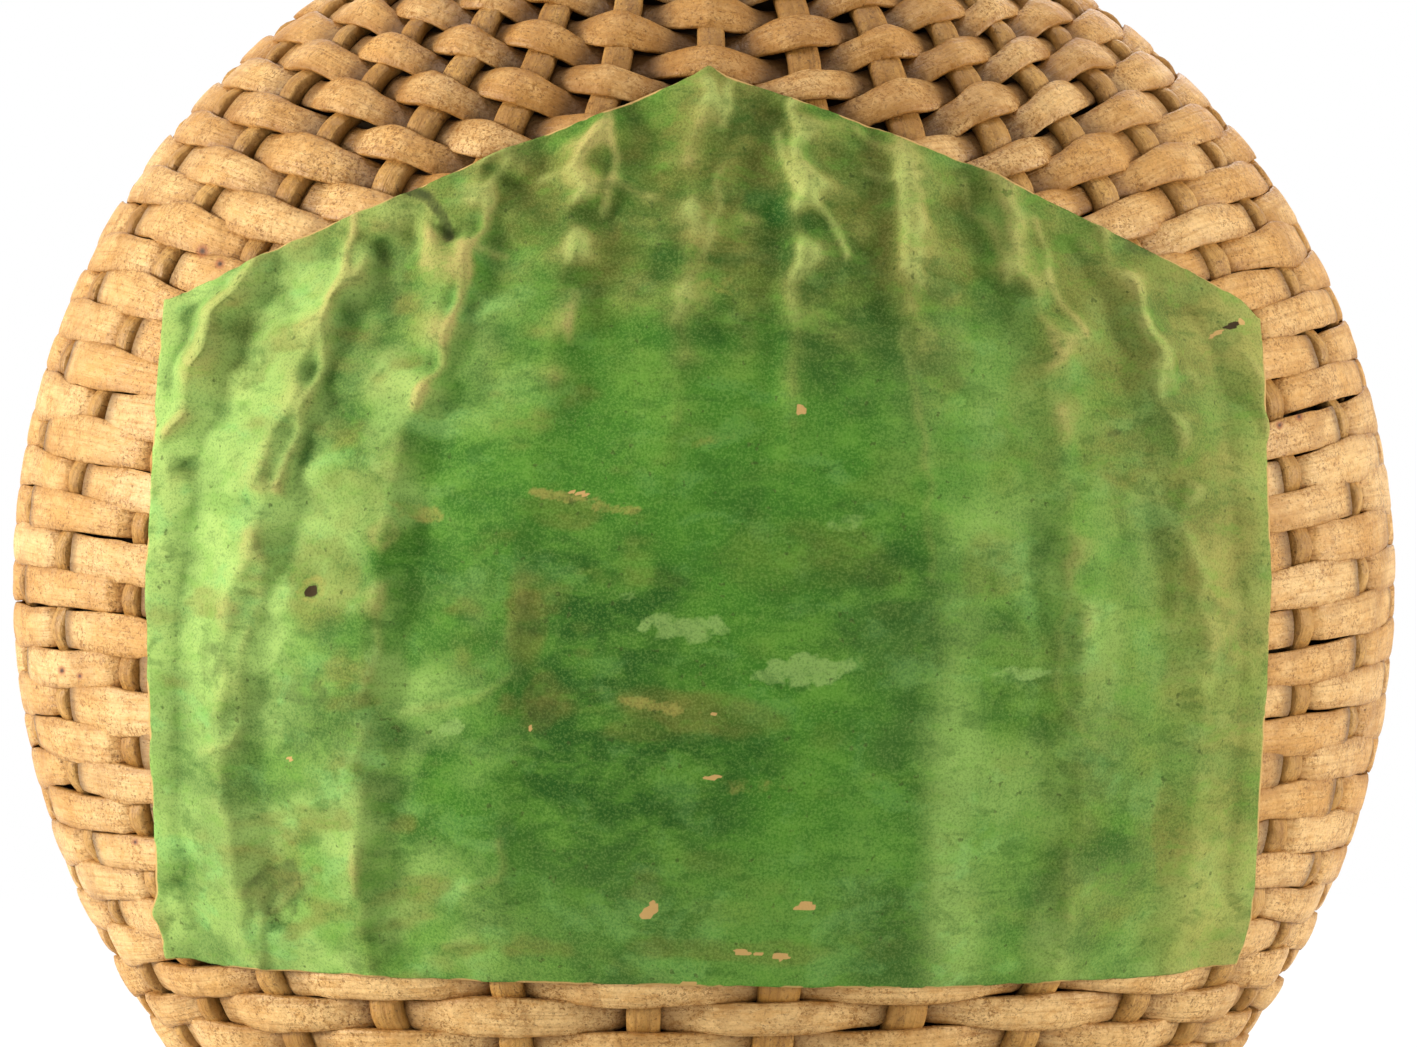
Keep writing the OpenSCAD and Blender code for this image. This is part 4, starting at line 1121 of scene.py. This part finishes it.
def paper():
    """Green printed paper, from its own colour up to the dirty stains, painted shade and tears over
    it.
    """
    m = Nodes("label_paper")
    place = m.place()
    cloud = m.noise(place, 55, 4, 0.55, 0.3)
    blotch = m.noise(m.stretch(place, (1.0, 1.0, 1.8)), 130, 5, 0.62, 0.2)
    fibre = m.noise(place, 4200, 3, 0.7)
    ragged = m.noise(place, 620, 4, 0.65)
    green, deep, bright = srgb(70, 126, 36), srgb(38, 84, 22), srgb(104, 156, 54)
    base = m.mix(m.window(cloud, 0.38, 0.62), deep, green)
    base = m.coat(base, m.window(blotch, 0.44, 0.68), 0.6, bright)
    fade = m.times(m.value("fade"), m.window(cloud, 0.30, 0.62, 0.55, 1.0))
    base = m.coat(base, fade, 0.88, srgb(176, 206, 114))
    # Painted shade: dark green patches for hollows over the weave's rows
    painted_shade_patches = m.window(m.noise(m.stretch(place, (1.0, 1.0, 1.7)), 175, 4, 0.6, 0.5), 0.56, 0.68)
    base = m.coat(base, painted_shade_patches, 0.34, srgb(44, 88, 30))
    mint = m.noise(m.stretch(place, (1.0, 1.0, 1.5)), 150, 5, 0.6, 0.3)
    base = m.coat(base, m.window(mint, 0.53, 0.66, 0.0, 0.5), m.plus(m.value("fade"), 0.35),
                  srgb(136, 190, 104))
    # Painted shade in the paper's hollows
    base = m.coat(base, m.value("hollow"), 0.75, srgb(34, 76, 18))
    stain = m.times(m.value("stain"), m.window(blotch, 0.30, 0.62, 0.35, 1.0))
    base = m.coat(base, stain, 0.72, srgb(126, 114, 54))
    worn = m.times(m.value("worn"), m.window(blotch, 0.36, 0.60, 0.5, 1.0))
    base = m.coat(base, worn, 0.54, srgb(188, 174, 98))
    rub = m.times(m.value("rub"), m.window(m.noise(place, 330, 4, 0.6), 0.30, 0.60, 0.35, 1.0))
    tan = m.mix(m.window(cloud, 0.40, 0.58), srgb(176, 186, 104), srgb(192, 170, 104))
    base = m.coat(base, rub, 0.85, tan)

    def rough_mask(name, push, low, high):
        """A field of the label's points with a ragged edge."""
        pushed = m.times(m.math("SUBTRACT", ragged, 0.5), push)
        return m.window(m.plus(m.value(name), pushed), low, high)

    base = m.coat(base, rough_mask("streak", 1.5, 0.2, 1.0), 0.75, srgb(166, 152, 78))
    base = m.coat(base, rough_mask("scuff", 1.8, 0.25, 0.85), 0.7, srgb(146, 178, 98))
    specks = m.window(m.noise(place, 1100, 2, 0.5), 0.67, 0.74)
    base = m.coat(base, specks, 0.6, srgb(60, 66, 30))
    base = m.mix(m.window(fibre, 0.44, 0.68, 0.0, 0.42), base, deep)
    base = m.mix(m.window(fibre, 0.54, 0.34, 0.0, 0.28), base, srgb(140, 168, 84))
    smudge = m.noise(m.stretch(place, (0.8, 0.8, 1.7)), 260, 5, 0.7, 0.4)
    base = m.mix(m.window(smudge, 0.52, 0.66, 0.0, 0.30), base, bright)
    base = m.mix(m.window(smudge, 0.46, 0.34, 0.0, 0.35), base, deep)
    # Grey grime, and along the furrow dirt with painted shadow
    base = m.coat(base, rough_mask("grime_and_shade", 0.8, 0.1, 1.0), 0.85, srgb(52, 56, 28))
    base = m.mix(rough_mask("bare", 0.4, 0.35, 0.62), base, srgb(196, 158, 98))
    # Holes and tears: painted shade of the weave behind them
    base = m.mix(rough_mask("hole", 0.9, 0.30, 0.70), base, srgb(56, 42, 20))
    height = m.plus(fibre, m.times(blotch, 1.2))
    m.set(Base_Color=base, Roughness=0.75, Normal=m.bump(height, 0.00012, 0.6),
          Specular_IOR_Level=0.12)
    return m.material


LABEL_LOOK = paper()


# ---- Glass and cork ---------------------------------------------------------------------

AROUND = np.arange(96) * 360 / 96


def circle(z, r):
    """A round ring of the glass or the cork. z and r are numbers, or have one for each point."""
    z, r = np.broadcast_to(z, AROUND.shape), np.broadcast_to(r, AROUND.shape)
    return np.stack([r * sind(AROUND), -r * cosd(AROUND), z], axis=-1)


def glass():
    """A hollow bottle: clear above the collar, dull and in painted shade where the weave covers it.
    """
    m = Nodes("bottle_glass")
    m.set(Base_Color=(0.10, 0.22, 0.055), Roughness=0.04, IOR=1.5, Transmission_Weight=1.0,
          Normal=m.bump(m.noise(m.place(), 60, 2), 0.0006, 0.4))
    # Below the collar the glass is opaque dark brown: painted shade seen through the weave's gaps
    gap_shade = Nodes("glass_painted_gap_shade")
    gap_shade_mottle = gap_shade.noise(gap_shade.place(), 120, 4, 0.6)
    gap_shade.set(Base_Color=gap_shade.mix(gap_shade_mottle, (0.040, 0.025, 0.012), (0.075, 0.048, 0.024)),
              Roughness=0.8, Specular_IOR_Level=0.1)
    inset = WEAVE_HALF + GLASS_GAP

    def wall(z, depth, least):
        """An oval ring that far inside the skin, and no narrower than a circle."""
        ring = skin(AROUND, np.full(len(AROUND), z), -depth)
        radius = np.hypot(ring[:, 0], ring[:, 1])
        grow = np.where(radius < least, least / radius, 1.0)
        ring[:, :2] *= grow[:, None]
        return ring

    def heights(low, high, count):
        """Heights of the rings, closer together where the wall turns in."""
        down, up = MID_DOWN - inset, MID_UP - inset
        start = -math.asin(min(1, (WIDEST_H - low) / down))
        belly = WIDEST_H + down * np.sin(np.linspace(start, 0, count))
        shoulder = WIDEST_H + up * np.sin(np.linspace(0, math.radians(PATH_HIGH), count))
        return np.concatenate([belly, shoulder[1:], np.linspace(shoulder[-1], high, count)[1:]])

    neck_r, lip_r, bore_r = NECK_D / 2, LIP_D / 2, BORE_D / 2
    shrink = np.linspace(0.12, 0.97, 8)[:, None, None]
    bottom = wall(GLASS_Z, inset, 0)
    floor_in = wall(GLASS_Z + GLASS_FLOOR, inset + GLASS_WALL, 0)
    outer = [*(bottom * [1, 1, 0] * shrink + [0, 0, GLASS_Z])]
    outer += [wall(z, inset, neck_r) for z in heights(GLASS_Z, NECK_Z, 22)]
    outer += [circle(z, neck_r) for z in np.linspace(NECK_Z, LIP_Z - 0.6, 8)[1:]]
    mid, half = (LIP_Z + GLASS_TOP) / 2, LIP_H / 2
    for p in np.linspace(-math.pi / 2, math.pi / 2, 13):
        bulge = (lip_r - neck_r) * np.cos(p) ** 0.45 + 0.6 * np.cos(p) - 0.6
        outer.append(circle(mid + half * np.sin(p) * 0.995, neck_r + bulge))
    inner = [circle(GLASS_TOP, bore_r + 1.0), circle(GLASS_TOP - 0.25, bore_r + 0.35),
             circle(GLASS_TOP - 0.9, bore_r)]
    inner += [circle(z, bore_r) for z in np.linspace(GLASS_TOP - 4, NECK_Z, 8)]
    inner += [wall(z, inset + GLASS_WALL, bore_r)
              for z in heights(GLASS_Z + GLASS_FLOOR, NECK_Z - 1, 22)[::-1]]
    inner += [*(floor_in * [1, 1, 0] * shrink[::-1] + [0, 0, GLASS_Z + GLASS_FLOOR])]
    points, faces = swept(np.array(outer + inner))
    bottle = make_piece("green_glass_bottle", points, faces, m.material, "bottle",
                        ["glass_bottle"])
    bottle.data.materials.append(gap_shade.material)
    covered = (COLLAR_MID_Z - 2) * MM
    for polygon in bottle.data.polygons:
        polygon.material_index = 1 if polygon.center.z < covered else 0


def cork():
    """A straight stopper with a wider head, from the middle of its lower end to that of its top."""
    m = Nodes("cork")
    place = m.place()
    grain = m.noise(place, 260, 4, 0.6)
    base = m.mix(m.window(grain, 0.35, 0.65), srgb(196, 152, 106), srgb(222, 184, 138))
    pits = m.window(m.noise(m.stretch(place, (1, 1, 2.4)), 520, 2, 0.5), 0.62, 0.70)
    lines = m.window(m.noise(m.stretch(place, (0.5, 0.5, 3.0)), 300, 2, 0.5), 0.66, 0.74)
    dark = m.math("MAXIMUM", pits, lines)
    base = m.coat(base, dark, 0.85, srgb(104, 66, 40))
    height = m.math("SUBTRACT", m.times(grain, 0.4), dark)
    m.set(Base_Color=base, Roughness=0.8, Normal=m.bump(height, 0.0004, 0.9))
    low, top = GLASS_TOP - CORK_IN, GLASS_TOP + CORK_OUT
    shaft, head = BORE_D / 2 - CORK_GAP, CORK_HEAD_D / 2
    profile = [(low, 1.5), (low, 5.5), (low + 0.02, shaft - 1.5), (low + 0.5, shaft - 0.6),
               (low + 1.2, shaft - 0.1)]
    profile += [(z, shaft - 0.03) for z in np.linspace(low + 2, GLASS_TOP - 0.2, 22)]
    profile += [(GLASS_TOP + 0.12, shaft + 0.3), (GLASS_TOP + 0.25, head - 0.5),
                (GLASS_TOP + 0.7, head - 0.12)]
    profile += [(z, head - 0.05) for z in np.linspace(GLASS_TOP + 1.3, top - 1.3, 16)]
    profile += [(top - 0.7, head - 0.2), (top - 0.25, head - 0.6), (top - 0.04, head - 1.3)]
    profile += [(top, r) for r in np.linspace(head - 2.2, 0.4, 12)]
    rings = []
    x, y = sind(AROUND), -cosd(AROUND)
    for z, r in profile:
        # Pits go into the side and both ends, less so below the lip. The side is a little rough
        free = 1.0 if z > GLASS_TOP else 0.25
        pit = 0.5 * free * np.maximum(0, layered(x * r / 1.1, y * r / 1.1, z / 0.9, seed=81) - 0.38)
        rough = 0.06 * free * np.abs(noise(x * r / 3, y * r / 3, z / 3, seed=82))
        if z >= top - 0.05:
            rings.append(circle(z - pit, r))
        elif z <= low + 0.05:
            rings.append(circle(z + pit, r))
        else:
            rings.append(circle(z, r - pit - rough))
    points, faces = swept(np.array(rings))
    make_piece("natural_cork", points, faces, m.material, "cork", ["cork"])


# ---- Borders and base -------------------------------------------------------------------

# Width of the base's sticks, its rounds from the middle outwards, and how far in they begin
BASE_STICK_W, BASE_ROUNDS, BASE_CORE = 4.5, 5, 0.6
UP = np.array([0.0, 0.0, 1.0])
# A share that spreads the pieces' tones evenly
GOLDEN = 0.618


def foot_halves(inset):
    """Half width and half depth of the foot's oval, that far in from its edge."""
    return half_width(FOOT_H) + WEAVE_HALF - inset, half_depth(FOOT_H) + WEAVE_HALF - inset


def circle_points(count):
    """Angles all round, in radians, and the points of a circle of radius 1 at them."""
    theta = np.arange(count) * 2 * math.pi / count
    return theta, np.stack([np.sin(theta), -np.cos(theta), np.zeros(count)], axis=-1)


def onward(line):
    """The way on at each point of a line that closes on itself."""
    return unit(np.roll(line, -1, axis=0) - np.roll(line, 1, axis=0))


def twisted(name, node, line, out, strands, turns, spread, thick):
    """A rope of strands round a closed line. spread and thick are (sideways, upwards)."""
    n, ring = len(line), 10
    phi = np.arange(ring) * 2 * math.pi / ring
    run = run_along(line)
    tubes = []
    for number in range(strands):
        angle = 2 * math.pi * (turns * np.arange(n) / n + number / strands)
        centre = (line + out * (spread[0] * np.cos(angle))[:, None]
                  + UP * (spread[1] * np.sin(angle))[:, None])
        way = onward(centre)
        side = unit(np.cross(way, UP))
        size = (1 + 0.06 * noise(run / 8, seed=500 + number))[:, None]
        rings = (centre[:, None] + side[:, None] * (thick[0] * size * np.cos(phi))[:, :, None]
                 + np.cross(side, way)[:, None] * (thick[1] * size * np.sin(phi))[:, :, None])
        # Painted shade where the strands lie against each other
        inside = clamp(1 - np.linalg.norm((rings - line[:, None]) / (spread[0] + thick[0]), axis=2))
        tubes.append((*looped(rings), willow_fields(
            (n, ring), (run[:, None], thick[0] * phi, 21.0 * (number + 3)),
            0.3 + 0.4 * (number * GOLDEN % 1), 0.7 * step(inside, 0.35, 0.8), 0.6)))
    points, faces, fields = joined(tubes)
    make_piece(name, points, faces, BORDER_LOOK, "bottle", [node], fields)


def borders():
    _, around = circle_points(720)
    a, b = foot_halves(FOOT_W / 2)
    line = around * [a, b, 0] + [0, 0, FOOT_H / 2]
    twisted("foot_rope_border", "foot_border", line, np.cross(onward(line), UP), 3, 15,
            (1.42, 0.82), (1.33, 1.17))
    twisted("collar_rope_border", "collar_border", around * NECK_R + [0, 0, COLLAR_MID_Z], around,
            3, 9, (0.98, 0.98), (1.2, 1.2))


def base_rounds():
    """Rounds of the base, each going up where its neighbour goes down."""
    theta, around = circle_points(480)
    inset = FOOT_W + WEAVE_GAP
    pitch = foot_halves(inset)[1] / (BASE_ROUNDS + BASE_CORE)
    x, t, _ = strip_section(*(np.array([[size]]) for size in (pitch * 0.5, 1.1, 0.7, 2.6)))
    tubes = []
    for number in range(2 * BASE_ROUNDS):
        a, b = foot_halves(inset + (number + 0.5) * pitch / 2)
        line = around * [a, b, 0]
        wave = 0.28 * np.cos(13 * theta + math.pi * number)
        centre = line + UP * (BASE_RECESS + BASE_ROUND_T / 2 - 0.1 + wave)[:, None]
        side = np.cross(onward(line), UP)
        rings = centre[:, None] + side[:, None] * x[0][:, None] - UP * t[0][:, None]
        points, faces = looped(rings)
        # A round is darker where it dips below its neighbours: painted shade
        tubes.append((points, faces[:, ::-1], willow_fields(
            rings.shape[:2], (run_along(line)[:, None], x, 13.0 * (number + 60)),
            0.25 + 0.5 * (number * GOLDEN % 1), 0.5 * step(-wave[:, None], -0.1, 0.3), 0.7)))
    points, faces, fields = joined(tubes)
    make_piece("base_woven_rounds", points, faces, STRIP_LOOK, "bottle",
               ["base_rounds"], fields)


def base_sticks(name, node, most, spacing, along_x, low):
    """Sticks side by side under the glass, from number -most to most."""
    half_a, half_b = foot_halves(FOOT_W + WEAVE_GAP)
    across, long = (half_b, half_a) if along_x else (half_a, half_b)
    tubes = []
    for i in range(-most, most + 1):
        length = 2 * long * math.sqrt(1 - ((abs(i) * spacing + BASE_STICK_W) / across) ** 2)
        run = np.linspace(-length / 2, length / 2, 40)
        squash = (0.97 - 0.04 * np.abs(noise(run / 12, seed=600 + i)))[:, None]
        off = BASE_STICK_W / 2 * bulged(np.cos(RING), 0.6) * squash
        rise = BASE_STICK_T / 2 * bulged(np.sin(RING), 0.7) * squash + low + BASE_STICK_T / 2
        line = np.broadcast_to(run[:, None], off.shape)
        beside = i * spacing + off
        rings = np.stack([line, beside, rise] if along_x else [beside, line, rise], axis=-1)
        fields = willow_fields(off.shape, (line, off, 9.0 * (i + 90)), 0.4, 0.2, 0.6)
        tubes.append((*swept(rings if along_x else rings[::-1]), fields))
    points, faces, fields = joined(tubes)
    make_piece(name, points, faces, STAKE_LOOK, "bottle", [node], fields)


body_strips()
neck_strips()
stakes()
label()
glass()
cork()
borders()
base_rounds()
base_sticks("base_long_sticks", "base_sticks_long", 1, BASE_STICK_W * 1.6, True, BASE_STICK_Z)
base_sticks("base_short_sticks", "base_sticks_short", 2, BASE_STICK_W * 2.4, False,
            BASE_STICK_Z + BASE_STICK_T)


# ---- Camera, lights, floor --------------------------------------------------------------

# The camera's place in metres, and the photograph's scale on the plane through the axis
CAMERA_X, CAMERA_Y, CAMERA_Z = 0.00048, -0.700, 0.0655
PHOTO_WIDE, PIXELS_PER_MM, SENSOR = 1417, 9.46, 36
AIM = (0, 0, 0.08)
# How bright the white surroundings are on the object, where the camera sees them as 1
SURROUNDINGS = 0.34
FLOOR_HALF = 6.0


def linked(name, data):
    """An object of the scene that isn't part of the bottle."""
    obj = bpy.data.objects.new(name, data)
    bpy.context.scene.collection.objects.link(obj)
    return obj


def camera():
    data = bpy.data.cameras.new("camera")
    data.sensor_width = SENSOR
    data.lens = SENSOR * PIXELS_PER_MM * -CAMERA_Y / MM / PHOTO_WIDE
    data.clip_start, data.clip_end = 0.01, 20
    obj = linked("camera", data)
    obj.location = (CAMERA_X, CAMERA_Y, CAMERA_Z)
    obj.rotation_euler = (math.radians(90), 0, 0)
    bpy.context.scene.camera = obj


def lamp(name, place, size, watts, colour):
    light = bpy.data.lights.new(name, "AREA")
    light.shape, light.size, light.energy, light.color = "SQUARE", size, watts, colour
    obj = linked(name, light)
    obj.location = place
    obj.rotation_euler = (Vector(AIM) - Vector(place)).to_track_quat("-Z", "Y").to_euler()


def surroundings():
    """White all round: bright for the camera, in glass and in reflections, dim as light."""
    world = bpy.data.worlds.new("studio")
    bpy.context.scene.world = world
    world.use_nodes = True
    nodes, links = world.node_tree.nodes, world.node_tree.links
    background = nodes["Background"]
    path = nodes.new("ShaderNodeLightPath")
    seen = nodes.new("ShaderNodeMath")
    seen.operation = "MAXIMUM"
    links.new(path.outputs["Is Camera Ray"], seen.inputs[0])
    more = nodes.new("ShaderNodeMath")
    more.operation = "MAXIMUM"
    links.new(path.outputs["Is Glossy Ray"], more.inputs[0])
    links.new(path.outputs["Is Transmission Ray"], more.inputs[1])
    links.new(more.outputs[0], seen.inputs[1])
    strength = nodes.new("ShaderNodeMapRange")
    links.new(seen.outputs[0], strength.inputs["Value"])
    strength.inputs["To Min"].default_value = SURROUNDINGS
    strength.inputs["To Max"].default_value = 1.0
    links.new(strength.outputs["Result"], background.inputs["Strength"])
    background.inputs["Color"].default_value = (1, 1, 1, 1)


def pale_floor():
    """A pale floor that shows white to the camera, more so away from the bottle."""
    floor = Nodes("pale_floor")
    floor.set(Base_Color=(0.86, 0.86, 0.86), Roughness=0.9)
    glow = floor.add("ShaderNodeEmission")
    glow.inputs["Color"].default_value = (1, 1, 1, 1)
    both = floor.add("ShaderNodeMixShader")
    eye = floor.add("ShaderNodeLightPath")
    away = floor.add("ShaderNodeVectorMath", operation="LENGTH")
    floor.put(away.inputs[0], floor.place())
    white = floor.window(away.outputs["Value"], 0.12, 0.5, 0.55, 1.0)
    floor.put(both.inputs[0], floor.times(eye.outputs["Is Camera Ray"], white))
    floor.put(both.inputs[1], floor.shader.outputs[0])
    floor.put(both.inputs[2], glow.outputs[0])
    floor.put(floor.output.inputs["Surface"], both.outputs[0])
    mesh = bpy.data.meshes.new("floor")
    corners = [(-1, -1), (1, -1), (1, 1), (-1, 1)]
    mesh.from_pydata([(x * FLOOR_HALF, y * FLOOR_HALF, 0) for x, y in corners], [], [(0, 1, 2, 3)])
    mesh.materials.append(floor.material)
    plane = linked("floor", mesh)


camera()
lamp("key_light", (-1.00, -0.20, 0.26), 0.30, 12.0, (1.0, 0.98, 0.94))
lamp("right_light", (1.00, -0.22, 0.24), 0.36, 7.6, (1.0, 0.975, 0.94))
lamp("top_light", (-0.1, -0.15, 1.0), 0.4, 4.1, (1.0, 0.98, 0.95))
lamp("back_light", (0.1, 0.9, 0.7), 0.6, 5.0, (1.0, 1.0, 1.0))
surroundings()
pale_floor()
bpy.context.scene.view_settings.view_transform = "Standard"
